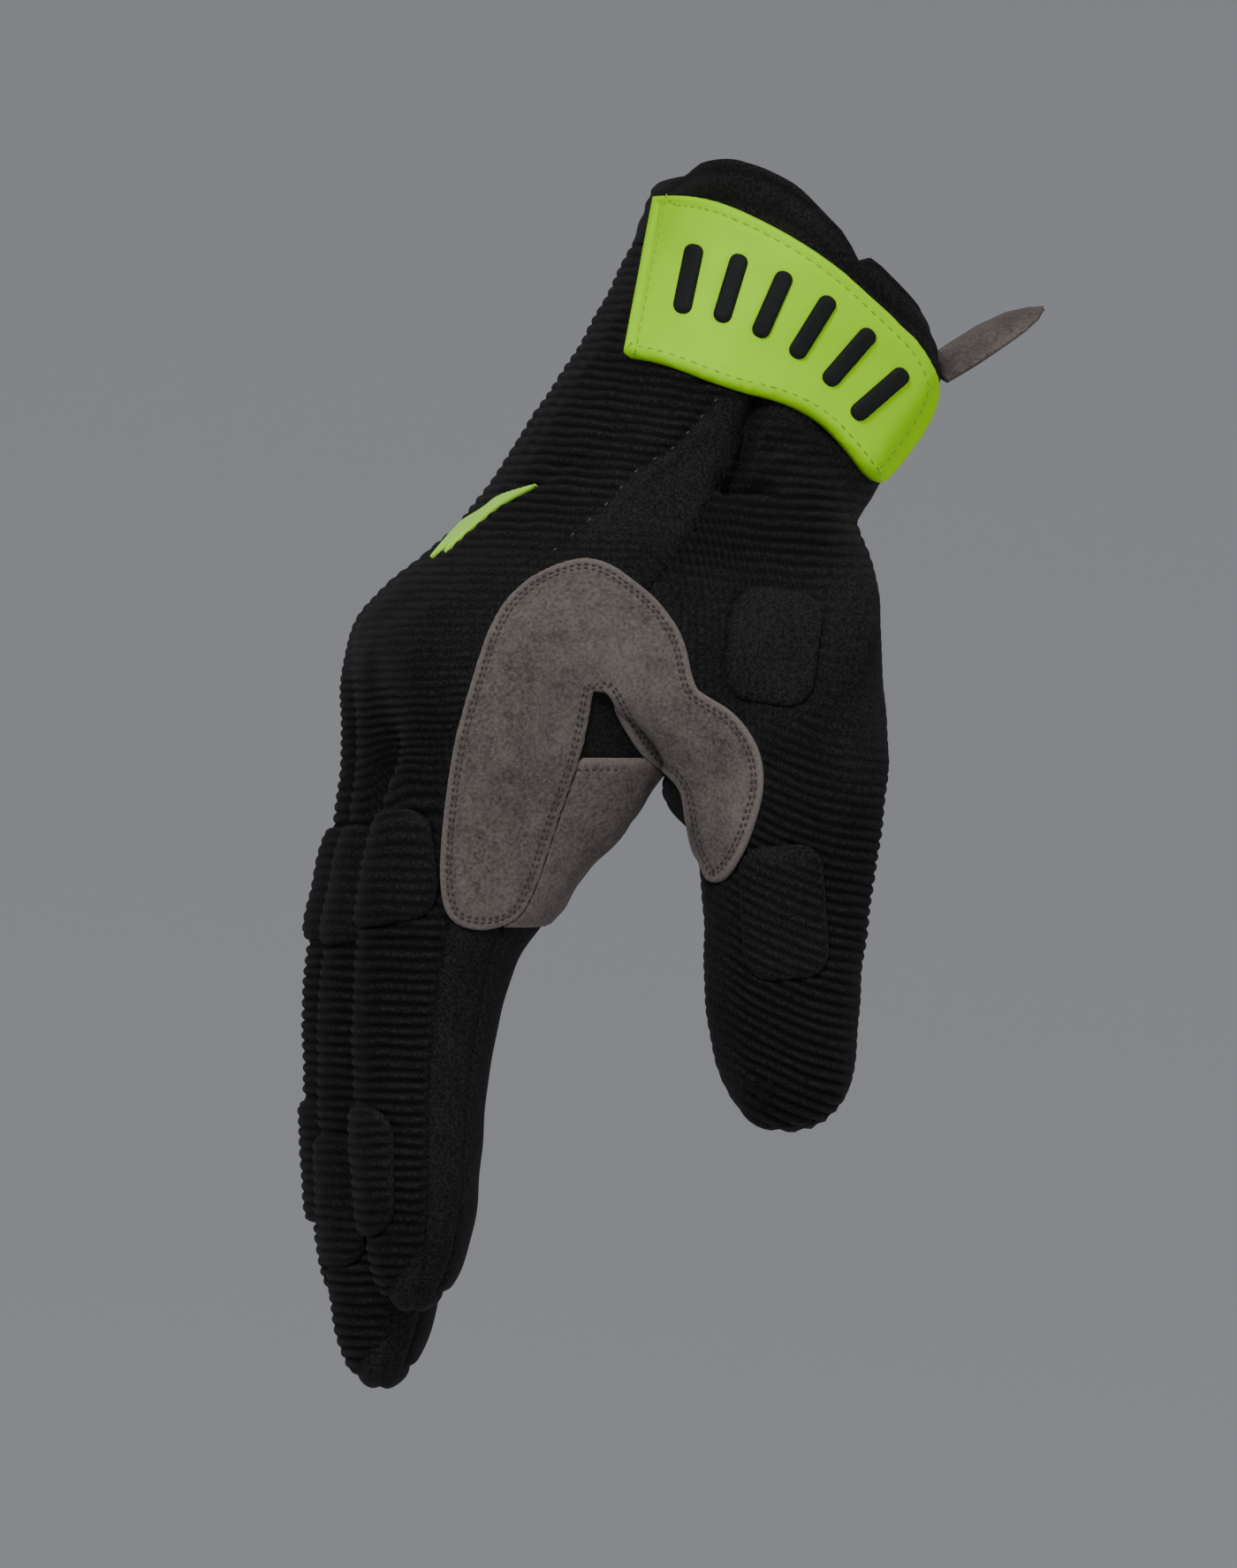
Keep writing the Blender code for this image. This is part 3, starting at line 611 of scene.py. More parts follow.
class Sheet:
    """A mesh on the form: points, normals, faces, and how far along its cage face each point lies."""

    def __init__(self, points, normals, down, faces):
        self.points, self.normals, self.down, self.faces = points, normals, down, faces

    def cut(self, field):
        """The part of the sheet where a field is below zero, cut along the field's zero line."""
        kept, added, index = [], [], {}
        count = len(self.points)
        faces = np.array(self.faces)
        inside = field[faces] < 0
        kept += [tuple(face) for face in faces[inside.all(axis=1)]]
        for face in faces[inside.any(axis=1) & ~inside.all(axis=1)]:
            corners = []
            for a, b in zip(face, np.roll(face, -1)):
                if field[a] < 0:
                    corners.append(int(a))
                if (field[a] < 0) != (field[b] < 0):
                    key = (min(a, b), max(a, b))
                    if key not in index:
                        index[key] = count + len(added)
                        added.append((*key, field[key[0]] / (field[key[0]] - field[key[1]])))
                    corners.append(index[key])
            kept.append(tuple(corners))
        if added:
            first, second = (np.array([row[k] for row in added]) for k in (0, 1))
            share = np.array([row[2] for row in added])
        else:
            first = second = np.zeros(0, int)
            share = np.zeros(0)

        def with_cut(values):
            shape = (-1,) + (1,) * (values.ndim - 1)
            t = share.reshape(shape)
            return np.concatenate((values, values[first] * (1 - t) + values[second] * t))

        used, faces = renumbered(kept)
        points, normals, down = (with_cut(v)[used] for v in (self.points, self.normals, self.down))
        normals /= np.linalg.norm(normals, axis=1)[:, None]
        return Sheet(points, normals, down, faces)


def renumbered(faces):
    """The points that the faces use, and the faces in terms of those."""
    used = sorted({v for face in faces for v in face})
    number = {v: i for i, v in enumerate(used)}
    return np.array(used, int), [tuple(number[v] for v in face) for face in faces]


class Form:
    """The hand's smoothed form, read as a grid of samples on each face of its cage."""

    def __init__(self):
        self.cage = build_cage()
        self.grids, self.facing = self.read()
        middles = self.grids[:, SAMPLES // 2, SAMPLES // 2]
        self.middles = middles
        self.turned = self.middle_normals() @ SIGHT

    def read(self):
        mesh = bpy.data.meshes.new("cage")
        points = fitted(self.cage.points, self.cage.faces) * BREADTH
        mesh.from_pydata(points.tolist(), [], self.cage.faces)
        places = mesh.uv_layers.new(name="places")
        for polygon in mesh.polygons:
            for k, loop in enumerate(polygon.loop_indices):
                s, t = ((0, 0), (1, 0), (1, 1), (0, 1))[k]
                places.data[loop].uv = (2 * polygon.index + s, t)
        facing = self.outward(mesh)
        obj = bpy.data.objects.new("cage", mesh)
        bpy.context.scene.collection.objects.link(obj)
        smooth = obj.modifiers.new("smooth", "SUBSURF")
        smooth.levels = smooth.render_levels = int(math.log2(SAMPLES))
        smooth.use_limit_surface = True
        smooth.uv_smooth = "NONE"
        graph = bpy.context.evaluated_depsgraph_get()
        fine = bpy.data.meshes.new_from_object(obj.evaluated_get(graph))
        grids = self.sample_grids(fine)
        bpy.data.objects.remove(obj)
        bpy.data.meshes.remove(fine)
        bpy.data.meshes.remove(mesh)
        return grids, facing

    def outward(self, mesh):
        """Plus or minus one for each face: whether its corners run round its outer side."""
        shape = bmesh.new()
        shape.from_mesh(mesh)
        before = np.array([f.normal[:] for f in shape.faces])
        bmesh.ops.recalc_face_normals(shape, faces=shape.faces)
        after = np.array([f.normal[:] for f in shape.faces])
        shape.free()
        return np.sign((before * after).sum(axis=1))

    def sample_grids(self, fine):
        corners = len(fine.loops)
        uv, vertex = np.empty(corners * 2, np.float32), np.empty(corners, np.int32)
        fine.uv_layers["places"].data.foreach_get("uv", uv)
        fine.loops.foreach_get("vertex_index", vertex)
        uv = uv.reshape(-1, 4, 2)
        face = (uv[:, :, 0].mean(axis=1) / 2).astype(int)
        s = np.rint((uv[:, :, 0] - 2 * face[:, None]) * SAMPLES).astype(int)
        t = np.rint(uv[:, :, 1] * SAMPLES).astype(int)
        points = np.array([v.co for v in fine.vertices])
        grids = np.empty((len(self.cage.faces), SAMPLES + 1, SAMPLES + 1, 3))
        grids[face[:, None], s, t] = points[vertex.reshape(-1, 4)]
        return grids

    def middle_normals(self):
        low, high = SAMPLES // 2 - 1, SAMPLES // 2 + 1
        middle = SAMPLES // 2
        normals = np.cross(
            self.grids[:, high, middle] - self.grids[:, low, middle],
            self.grids[:, middle, high] - self.grids[:, middle, low],
        )
        return normals / np.linalg.norm(normals, axis=1)[:, None] * self.facing[:, None]

    def faces_of(self, *panels):
        return [i for i, panel in enumerate(self.cage.panels) if panel in panels]

    def faces_near(self, low, high, facing, panels=None):
        """Cage faces that overlap a rectangle on the drawing plane and turn no further from the view than asked."""
        x, z = seen(self.grids)
        x, z = x.reshape(len(x), -1), z.reshape(len(z), -1)
        near = (x.max(axis=1) > low[0]) & (x.min(axis=1) < high[0])
        near &= (z.max(axis=1) > low[1]) & (z.min(axis=1) < high[1]) & (self.turned < facing)
        return [int(i) for i in np.nonzero(near)[0] if panels is None or self.cage.panels[i] in panels]

    def numbering(self, groups):
        """A number for each point of the groups' grids, shared where faces meet."""
        numbered, count, corners, edges = [], 0, {}, {}
        for (across, along), group in groups.items():
            ids = np.empty((len(group), across + 1, along + 1), int)
            for block, face in zip(ids, group):
                a, b, c, d = self.cage.faces[face]
                inner = (across - 1) * (along - 1)
                block[1:-1, 1:-1] = (count + np.arange(inner)).reshape(across - 1, along - 1)
                count += inner
                for side, p, q in ((block[:, 0], a, b), (block[-1], b, c), (block[:, -1], d, c), (block[0], a, d)):
                    if frozenset((p, q)) not in edges:
                        edges[frozenset((p, q))] = (p, count + np.arange(len(side) - 2))
                        count += len(side) - 2
                    start, inside = edges[frozenset((p, q))]
                    side[1:-1] = inside if start == p else inside[::-1]
                    for spot, v in ((0, p), (-1, q)):
                        if v not in corners:
                            corners[v] = count
                            count += 1
                        side[spot] = corners[v]
            numbered.append(ids)
        return numbered, count

    def sheet(self, chosen, steps, creased=False):
        """A mesh over some of the cage's faces; steps gives each face its steps across and along."""
        groups = {}
        for face in chosen:
            groups.setdefault(steps(face), []).append(face)
        numbered, count = self.numbering(groups)
        points, normals, down = np.zeros((count, 3)), np.zeros((count, 3)), np.zeros(count)
        faces = []
        for ((across, along), group), ids in zip(groups.items(), numbered):
            (read_s, slope_s), (read_t, slope_t) = reading_matrices(across), reading_matrices(along)
            grids = self.grids[group]
            points[ids] = np.einsum("as,fstx,bt->fabx", read_s, grids, read_t)
            turned = np.cross(
                np.einsum("as,fstx,bt->fabx", slope_s, grids, read_t),
                np.einsum("as,fstx,bt->fabx", read_s, grids, slope_t),
            )
            facing = self.facing[group]
            turned *= facing[:, None, None, None]
            np.add.at(normals, ids, turned / (np.linalg.norm(turned, axis=3, keepdims=True) + 1e-12))
            down[ids] = np.linspace(0, 1, along + 1)[None, None, :]
            quads = np.stack((ids[:, :-1, :-1], ids[:, 1:, :-1], ids[:, 1:, 1:], ids[:, :-1, 1:]), axis=-1)
            quads[facing < 0] = quads[facing < 0][..., ::-1]
            faces += [tuple(face) for face in quads.reshape(-1, 4).tolist()]
        normals /= np.linalg.norm(normals, axis=1)[:, None]
        return Sheet(shaped(points, normals, creased), normals, down, faces)

    def woven(self, panel, across, fine):
        """The steps of a panel's faces: so many across, and along by the length of their row."""
        longest = {}
        for face in self.faces_of(panel):
            grid = self.grids[face]
            length = np.linalg.norm(np.diff(grid, axis=1), axis=2).sum(axis=1).max()
            row = self.cage.rows[face]
            longest[row] = max(longest.get(row, 0.0), length)

        def steps(face):
            row = self.cage.rows[face]
            wide = across(self.cage.columns[face]) if callable(across) else across
            return (wide, wide) if row == CAP else (wide, math.ceil(longest[row] / fine))

        return steps

    def seam_points(self, panels, joined):
        """Points along the sewn borders of some panels; a border with a joined panel isn't sewn."""
        sides = {}
        for f, face in enumerate(self.cage.faces):
            grid = self.grids[f]
            for side, p, q in ((grid[:, 0], 0, 1), (grid[-1], 1, 2), (grid[:, -1], 3, 2), (grid[0], 0, 3)):
                sides.setdefault(frozenset((face[p], face[q])), []).append((self.cage.panels[f], side))
        found = []
        for pair in sides.values():
            names = {name for name, _ in pair}
            if len(names) == 2 and names & set(panels) and not names <= set(panels) | set(joined):
                side = pair[0][1]
                found.append(np.einsum("as,sx->ax", reading_matrices(SAMPLES * 4)[0], side))
        return np.concatenate(found) if found else np.zeros((0, 3))


def seen(points):
    """Where points lie on the drawing plane, in metres."""
    shift = math.tan(YAW) * (points[..., 1] - OUTLINE_Y * BREADTH)
    return points[..., 0] - shift, points[..., 2]


def shaped(points, normals, creased):
    """The form's points with its dents and slight unevenness, and for cloth with its creases too."""
    depth = np.zeros(len(points))
    for dent in DENTS:
        centre = np.array((dent.x, dent.y, dent.z)) * BREADTH
        far = np.linalg.norm(points - centre, axis=1) / (dent.radius * BREADTH)
        depth += np.exp(-(far**2)) * dent.depth * BREADTH
    x, z = seen(points)
    for crease in CREASES if creased else ():
        near = points[:, 1] < crease.far * BREADTH
        near &= normals @ SIGHT < 0.2
        away = line_distance(crease.points, x[near], z[near]) / (crease.width * BREADTH)
        depth[near] += np.exp(-(away**2)) * crease.depth * BREADTH
    for pad in PADS if creased else ():
        near = (points[:, 1] > pad.near * BREADTH) & (points[:, 1] < pad.far * BREADTH)
        near &= normals @ SIGHT < 0.2
        away = outline_distance(rounded_rectangle(pad), x[near], z[near]) / (0.010 * BREADTH)
        depth[near] += np.exp(-(away**2)) * 0.005 * BREADTH
    depth += 0.00018 * waves(points, 90.0)
    return points - normals * depth[:, None]


def waves(points, turns):
    """A smooth uneven value between about -1 and 1, from crossing waves so many to the metre."""
    x, y, z = (points * turns * 2 * math.pi).T
    return (np.sin(x + 0.7 * z) + np.sin(0.9 * y - 0.6 * x + 1.3) + np.sin(1.1 * z + 0.5 * y + 2.1)) / 3


def line_distance(line, x, z):
    """Distance to a line on the drawing plane, given as shares of the breadth."""
    line = np.array(line) * BREADTH
    best = np.full(len(x), np.inf)
    for (ax, az), (bx, bz) in zip(line, line[1:]):
        dx, dz = bx - ax, bz - az
        t = np.clip(((x - ax) * dx + (z - az) * dz) / (dx * dx + dz * dz), 0, 1)
        best = np.minimum(best, np.hypot(x - ax - t * dx, z - az - t * dz))
    return best


def outline_distance(outline, x, z):
    """Distance to a closed outline in metres, below zero inside it."""
    line = np.array(outline) * BREADTH
    best = line_distance([*outline, outline[0]], x, z)
    inside = np.zeros(len(x), bool)
    for (ax, az), (bx, bz) in zip(line, np.roll(line, -1, axis=0)):
        if az != bz:
            crosses = (az > z) != (bz > z)
            inside ^= crosses & (x < ax + (z - az) * (bx - ax) / (bz - az))
    return np.where(inside, -best, best)


def smooth_outline(outline, sharp=(), rounds=2):
    """The outline with its corners cut, except for the sharp ones."""
    points = [(p, i in sharp) for i, p in enumerate(outline)]
    for _ in range(rounds):
        cut = []
        for (p, keep), (q, keep_next) in zip(points, points[1:] + points[:1]):
            p, q = np.array(p), np.array(q)
            cut.append((tuple(p), True) if keep else (tuple(p * 0.75 + q * 0.25), False))
            if not keep_next:
                cut.append((tuple(p * 0.25 + q * 0.75), False))
            elif not keep:
                cut.append((tuple(p * 0.25 + q * 0.75), False))
        points = cut
    return [p for p, _ in points]


def rounded_rectangle(pad, corner=CORNER):
    """The outline of a pad, turned by its lean, in the plane on which it is drawn."""
    points = []
    corner = corner * min(pad.wide, pad.tall)
    lean = math.radians(pad.lean)
    for sx, sz, start in ((1, 1, 0), (-1, 1, 90), (-1, -1, 180), (1, -1, 270)):
        for turn in range(0, 91, 15):
            angle = math.radians(start + turn)
            x = sx * (pad.wide / 2 - corner) + corner * math.cos(angle)
            z = sz * (pad.tall / 2 - corner) + corner * math.sin(angle)
            turned_x = x * math.cos(lean) - z * math.sin(lean)
            turned_z = x * math.sin(lean) + z * math.cos(lean)
            points.append((pad.x + turned_x, pad.z + turned_z))
    return points


def smoothstep(values, low, high):
    t = np.clip((values - low) / (high - low), 0, 1)
    return t * t * (3 - 2 * t)


def domed(depth, radius):
    """A rounded edge: 0 on the border and 1 from a radius inside it."""
    t = np.clip(1 - depth / radius, 0, 1)
    return np.sqrt(1 - t * t)


# Shapes to objects


def link(name, mesh):
    obj = bpy.data.objects.new(name, mesh)
    bpy.context.scene.collection.objects.link(obj)
    return obj


def set_attribute(mesh, name, values):
    attribute = mesh.attributes.new(name, "FLOAT", "POINT")
    attribute.data.foreach_set("value", np.asarray(values, np.float32))


def mesh_from(name, points, faces, **attributes):
    mesh = bpy.data.meshes.new(name)
    mesh.from_pydata(points.tolist(), [], faces)
    for key, values in attributes.items():
        set_attribute(mesh, key, values)
    mesh.shade_smooth()
    return mesh


def shell(name, sheet, high, low, **attributes):
    """A closed wall over a sheet, between two offsets from it. Attributes are zero on the inner side."""
    count = len(sheet.points)
    outer = sheet.points + sheet.normals * np.broadcast_to(high, count)[:, None]
    inner = sheet.points + sheet.normals * np.broadcast_to(low, count)[:, None]
    edges = set()
    for face in sheet.faces:
        edges |= set(zip(face, face[1:] + face[:1]))
    rim = [(b, a, a + count, b + count) for a, b in edges if (b, a) not in edges]
    faces = sheet.faces + [tuple(v + count for v in reversed(face)) for face in sheet.faces] + sorted(rim)
    both = {key: np.concatenate((values, np.zeros(count))) for key, values in attributes.items()}
    return mesh_from(name, np.vstack((outer, inner)), faces, **both)


def finished(obj, slot, *nodes):
    """Hands a piece to the frame: where it rides and which nodes it stands for. The slot is not used."""
    if nodes:
        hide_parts(*nodes)
    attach(obj, BODY_NAME)
    return obj


def apply_tree(obj, tree, **values):
    """Runs a node tree on an object and keeps the result as its plain mesh."""
    modifier = obj.modifiers.new(tree.name, "NODES")
    modifier.node_group = tree
    for item in tree.interface.items_tree:
        if item.item_type == "SOCKET" and item.in_out == "INPUT" and item.name in values:
            modifier[item.identifier] = values[item.name]
    graph = bpy.context.evaluated_depsgraph_get()
    mesh = bpy.data.meshes.new_from_object(obj.evaluated_get(graph), depsgraph=graph)
    old = obj.data
    obj.modifiers.clear()
    obj.data = mesh
    bpy.data.batch_remove([old])
    return obj


# Node trees


def add_node(tree, kind, inputs=None, **fields):
    """Adds a node, sets its fields, and wires or sets its inputs."""
    node = tree.nodes.new(kind)
    for key, value in fields.items():
        setattr(node, key, value)
    for key, value in (inputs or {}).items():
        if isinstance(value, bpy.types.NodeSocket):
            tree.links.new(value, node.inputs[key])
        else:
            node.inputs[key].default_value = value
    return node


def math_node(tree, operation, *values, prefix="ShaderNode"):
    return add_node(tree, prefix + "Math", dict(enumerate(values)), operation=operation).outputs[0]


def new_tree(name, kind, inputs, outputs):
    tree = bpy.data.node_groups.new(name, kind)
    for socket, form, default in inputs:
        made = tree.interface.new_socket(name=socket, in_out="INPUT", socket_type=form)
        if default is not None:
            made.default_value = default
    for socket, form in outputs:
        tree.interface.new_socket(name=socket, in_out="OUTPUT", socket_type=form)
    return tree, tree.nodes.new("NodeGroupInput").outputs, tree.nodes.new("NodeGroupOutput").inputs


def rib_tree():
    """Raises ribs on cloth: one for each whole number of the counted attribute, and paints shade into the hollows
    between them.
    """
    found = bpy.data.node_groups.get("raised ribs")
    if found:
        return found
    tree, given, result = new_tree(
        "raised ribs",
        "GeometryNodeTree",
        (
            ("Geometry", "NodeSocketGeometry", None),
            ("Height", "NodeSocketFloat", 0.0005),
            ("Roundness", "NodeSocketFloat", 0.6),
            ("Material", "NodeSocketMaterial", None),
        ),
        (("Geometry", "NodeSocketGeometry"),),
    )
    counted = add_node(tree, "GeometryNodeInputNamedAttribute", {"Name": "rib_count"}, data_type="FLOAT")
    strength = add_node(tree, "GeometryNodeInputNamedAttribute", {"Name": "rib_strength"}, data_type="FLOAT")
    step = math_node(tree, "FRACT", counted.outputs["Attribute"])
    wave = math_node(tree, "SINE", math_node(tree, "MULTIPLY", step, math.pi))
    crown = math_node(tree, "POWER", wave, given["Roundness"])
    lift = math_node(tree, "MULTIPLY", math_node(tree, "SUBTRACT", crown, 0.55), given["Height"])
    lift = math_node(tree, "MULTIPLY", lift, strength.outputs["Attribute"])
    offset = add_node(
        tree, "ShaderNodeVectorMath", {0: add_node(tree, "GeometryNodeInputNormal").outputs[0], "Scale": lift},
        operation="SCALE",
    )
    moved = add_node(tree, "GeometryNodeSetPosition", {"Geometry": given["Geometry"], "Offset": offset.outputs[0]})
    # Painted shade: the hollow attribute darkens the cloth between the ribs, where shade falls.
    shade = math_node(tree, "POWER", wave, 2.0)
    hollow = math_node(tree, "MULTIPLY", math_node(tree, "SUBTRACT", 1.0, shade), strength.outputs["Attribute"])
    stored = add_node(
        tree, "GeometryNodeStoreNamedAttribute",
        {"Geometry": moved.outputs[0], "Name": "hollow", "Value": hollow}, data_type="FLOAT", domain="POINT",
    )
    real = add_node(tree, "GeometryNodeRealizeInstances", {"Geometry": stored.outputs[0]})
    painted = add_node(
        tree, "GeometryNodeSetMaterial", {"Geometry": real.outputs[0], "Material": given["Material"]}
    )
    tree.links.new(painted.outputs[0], result["Geometry"])
    return tree


def stitch_tree():
    """Lays stitches of even pitch along a line of edges."""
    found = bpy.data.node_groups.get("sewn stitches")
    if found:
        return found
    tree, given, result = new_tree(
        "sewn stitches",
        "GeometryNodeTree",
        (
            ("Geometry", "NodeSocketGeometry", None),
            ("Pitch", "NodeSocketFloat", 0.0016),
            ("Length", "NodeSocketFloat", 0.0010),
            ("Radius", "NodeSocketFloat", 0.00017),
            ("Sides", "NodeSocketInt", 6),
            ("Material", "NodeSocketMaterial", None),
        ),
        (("Geometry", "NodeSocketGeometry"),),
    )
    line = add_node(tree, "GeometryNodeMeshToCurve", {"Mesh": given["Geometry"]})
    even = add_node(
        tree, "GeometryNodeResampleCurve", {"Curve": line.outputs[0], "Length": given["Pitch"]}, mode="LENGTH"
    )
    bead = add_node(tree, "GeometryNodeMeshUVSphere", {"Segments": given["Sides"], "Rings": 5, "Radius": 1.0})
    half = math_node(tree, "MULTIPLY", given["Length"], 0.5)
    size = add_node(tree, "ShaderNodeCombineXYZ", {0: given["Radius"], 1: given["Radius"], 2: half})
    tangent = add_node(tree, "GeometryNodeInputTangent")
    turn = add_node(tree, "FunctionNodeAlignRotationToVector", {"Vector": tangent.outputs[0]}, axis="Z")
    laid = add_node(
        tree, "GeometryNodeInstanceOnPoints",
        {
            "Points": even.outputs[0], "Instance": bead.outputs["Mesh"],
            "Rotation": turn.outputs[0], "Scale": size.outputs[0],
        },
    )
    real = add_node(tree, "GeometryNodeRealizeInstances", {"Geometry": laid.outputs[0]})
    painted = add_node(
        tree, "GeometryNodeSetMaterial", {"Geometry": real.outputs[0], "Material": given["Material"]}
    )
    tree.links.new(painted.outputs[0], result["Geometry"])
    return tree


def knit_group():
    """Fine knit: small loops in rows, with a little fuzz."""
    found = bpy.data.node_groups.get("fine knit")
    if found:
        return found
    tree, given, result = new_tree(
        "fine knit",
        "ShaderNodeTree",
        (
            ("Position", "NodeSocketVector", None),
            ("Loops", "NodeSocketFloat", 1500.0),
            ("Fuzz", "NodeSocketFloat", 0.5),
        ),
        (("Height", "NodeSocketFloat"), ("Shade", "NodeSocketFloat")),
    )
    bend = add_node(tree, "ShaderNodeTexNoise", {"Vector": given["Position"], "Scale": 250.0, "Detail": 1.0})
    split = add_node(tree, "ShaderNodeSeparateXYZ", {0: given["Position"]}).outputs
    sway = math_node(tree, "MULTIPLY", bend.outputs[0], 6.0)
    turn = math_node(tree, "MULTIPLY", given["Loops"], 2 * math.pi)
    side = math_node(tree, "ADD", split[0], split[1])
    rows = math_node(tree, "SINE", math_node(tree, "MULTIPLY_ADD", split[2], turn, sway))
    columns = math_node(tree, "SINE", math_node(tree, "MULTIPLY_ADD", side, turn, sway))
    loops = math_node(tree, "MULTIPLY_ADD", math_node(tree, "MULTIPLY", rows, columns), 0.2, 0.2)
    hairs = add_node(
        tree, "ShaderNodeTexNoise", {"Vector": given["Position"], "Scale": 2100.0, "Detail": 2.0, "Roughness": 0.7}
    )
    mixed = math_node(tree, "MULTIPLY_ADD", hairs.outputs[0], given["Fuzz"], loops)
    tree.links.new(mixed, result["Height"])
    cloud = add_node(tree, "ShaderNodeTexNoise", {"Vector": given["Position"], "Scale": 60.0, "Detail": 3.0})
    speckled = math_node(tree, "MULTIPLY_ADD", hairs.outputs[0], 3.2, -1.58)
    shade = math_node(tree, "MULTIPLY_ADD", loops, 0.5, speckled)
    shade = math_node(tree, "MULTIPLY_ADD", cloud.outputs[0], 0.6, shade)
    tree.links.new(shade, result["Shade"])
    return tree


def nap_group():
    """Brushed nap: soft mottling at three scales."""
    found = bpy.data.node_groups.get("brushed nap")
    if found:
        return found
    tree, given, result = new_tree(
        "brushed nap",
        "ShaderNodeTree",
        (("Position", "NodeSocketVector", None), ("Grain", "NodeSocketFloat", 1500.0)),
        (("Height", "NodeSocketFloat"), ("Shade", "NodeSocketFloat")),
    )
    fine = add_node(
        tree, "ShaderNodeTexNoise",
        {"Vector": given["Position"], "Scale": given["Grain"], "Detail": 4.0, "Roughness": 0.75},
    )
    patchy = add_node(tree, "ShaderNodeTexNoise", {"Vector": given["Position"], "Scale": 280.0, "Detail": 3.0})
    cloudy = add_node(tree, "ShaderNodeTexNoise", {"Vector": given["Position"], "Scale": 55.0, "Detail": 3.0})
    tree.links.new(fine.outputs[0], result["Height"])
    shade = math_node(tree, "MULTIPLY_ADD", fine.outputs[0], 2.6, -1.3)
    shade = math_node(tree, "MULTIPLY_ADD", patchy.outputs[0], 0.8, shade)
    shade = math_node(tree, "MULTIPLY_ADD", cloudy.outputs[0], 0.9, shade)
    tree.links.new(math_node(tree, "SUBTRACT", shade, 0.25), result["Shade"])
    return tree


def new_material(name):
    """An empty material with its tree, shader and object position."""
    made = bpy.data.materials.new(name)
    made.use_nodes = True
    tree = made.node_tree
    shader = tree.nodes["Principled BSDF"]
    position = add_node(tree, "ShaderNodeTexCoord").outputs["Object"]
    return made, tree, shader, position


def set_inputs(shader, **values):
    for key, value in values.items():
        shader.inputs[key.replace("_", " ")].default_value = value


def blended(tree, share, first, second):
    """One colour turning into another as a share goes from 0 to 1."""
    mix = add_node(tree, "ShaderNodeMix", data_type="RGBA")
    mix.clamp_factor = True
    for socket, value in ((mix.inputs["Factor"], share), (mix.inputs[6], first), (mix.inputs[7], second)):
        if isinstance(value, bpy.types.NodeSocket):
            tree.links.new(value, socket)
        else:
            socket.default_value = value if isinstance(value, float) else (*value, 1.0)
    return mix.outputs[2]


def bump(tree, shader, height, depth, strength=1.0):
    made = add_node(tree, "ShaderNodeBump", {"Height": height, "Distance": depth, "Strength": strength})
    tree.links.new(made.outputs[0], shader.inputs["Normal"])


def cloth_material(name, colour, hollow, loops, depth, fuzz=0.5):
    """Black knit cloth, darker in the hollows between its ribs by painted shade."""
    found = bpy.data.materials.get(name)
    if found:
        return found
    made, tree, shader, position = new_material(name)
    knit = add_node(tree, "ShaderNodeGroup", node_tree=knit_group())
    tree.links.new(position, knit.inputs["Position"])
    knit.inputs["Loops"].default_value = loops
    knit.inputs["Fuzz"].default_value = fuzz
    # The hollow attribute paints shade: it darkens the knit towards the hollow colour.
    low = add_node(tree, "ShaderNodeAttribute", attribute_name="hollow").outputs["Fac"]
    shade = math_node(tree, "MULTIPLY", knit.outputs["Shade"], 0.9)
    dark = tuple(c * 0.2 for c in colour)
    light = tuple(min(1.0, c * 2.1) for c in colour)
    woven = blended(tree, shade, dark, light)
    tree.links.new(blended(tree, low, woven, hollow), shader.inputs["Base Color"])
    set_inputs(shader, Roughness=0.8, Sheen_Weight=0.02, Sheen_Roughness=0.5, Specular_IOR_Level=0.12)
    bump(tree, shader, knit.outputs["Height"], depth)
    return made


def rib_cloth():
    colours = settings().colours
    return cloth_material("ribbed cloth", tuple(colours.cloth), tuple(colours.hollow), 2300.0, 0.00012)


def plain_cloth():
    colours = settings().colours
    return cloth_material("plain cloth", tuple(colours.plain), tuple(colours.hollow), 2500.0, 0.00009, 0.8)


def suede():
    found = bpy.data.materials.get("brushed suede")
    if found:
        return found
    colours = settings().colours
    made, tree, shader, position = new_material("brushed suede")
    nap = add_node(tree, "ShaderNodeGroup", {"Position": position}, node_tree=nap_group())
    body = blended(tree, nap.outputs["Shade"], tuple(colours.suede_dark), tuple(colours.suede))
    edge = add_node(tree, "ShaderNodeAttribute", attribute_name="hem").outputs["Fac"]
    pale = tuple(min(1.0, c * 1.45) for c in colours.suede)
    share = math_node(tree, "MULTIPLY", edge, 0.6)
    tree.links.new(blended(tree, share, body, pale), shader.inputs["Base Color"])
    set_inputs(shader, Roughness=0.95, Sheen_Weight=0.08, Sheen_Roughness=0.45, Specular_IOR_Level=0.1)
    bump(tree, shader, nap.outputs["Height"], 0.0004)
    return made


def lime_rubber():
    found = bpy.data.materials.get("lime rubber")
    if found:
        return found
    lime = tuple(settings().colours.lime)
    made, tree, shader, position = new_material("lime rubber")
    grain = add_node(tree, "ShaderNodeTexNoise", {"Vector": position, "Scale": 900.0, "Detail": 3.0})
    cloud = add_node(tree, "ShaderNodeTexNoise", {"Vector": position, "Scale": 45.0, "Detail": 2.0})
    darker = tuple(c * 0.86 for c in lime)
    tree.links.new(blended(tree, cloud.outputs[0], darker, lime), shader.inputs["Base Color"])
    dull = math_node(tree, "MULTIPLY_ADD", grain.outputs[0], 0.25, 0.5)
    tree.links.new(dull, shader.inputs["Roughness"])
    set_inputs(shader, Specular_IOR_Level=0.06)
    bump(tree, shader, grain.outputs[0], 0.00008, 0.5)
    return made


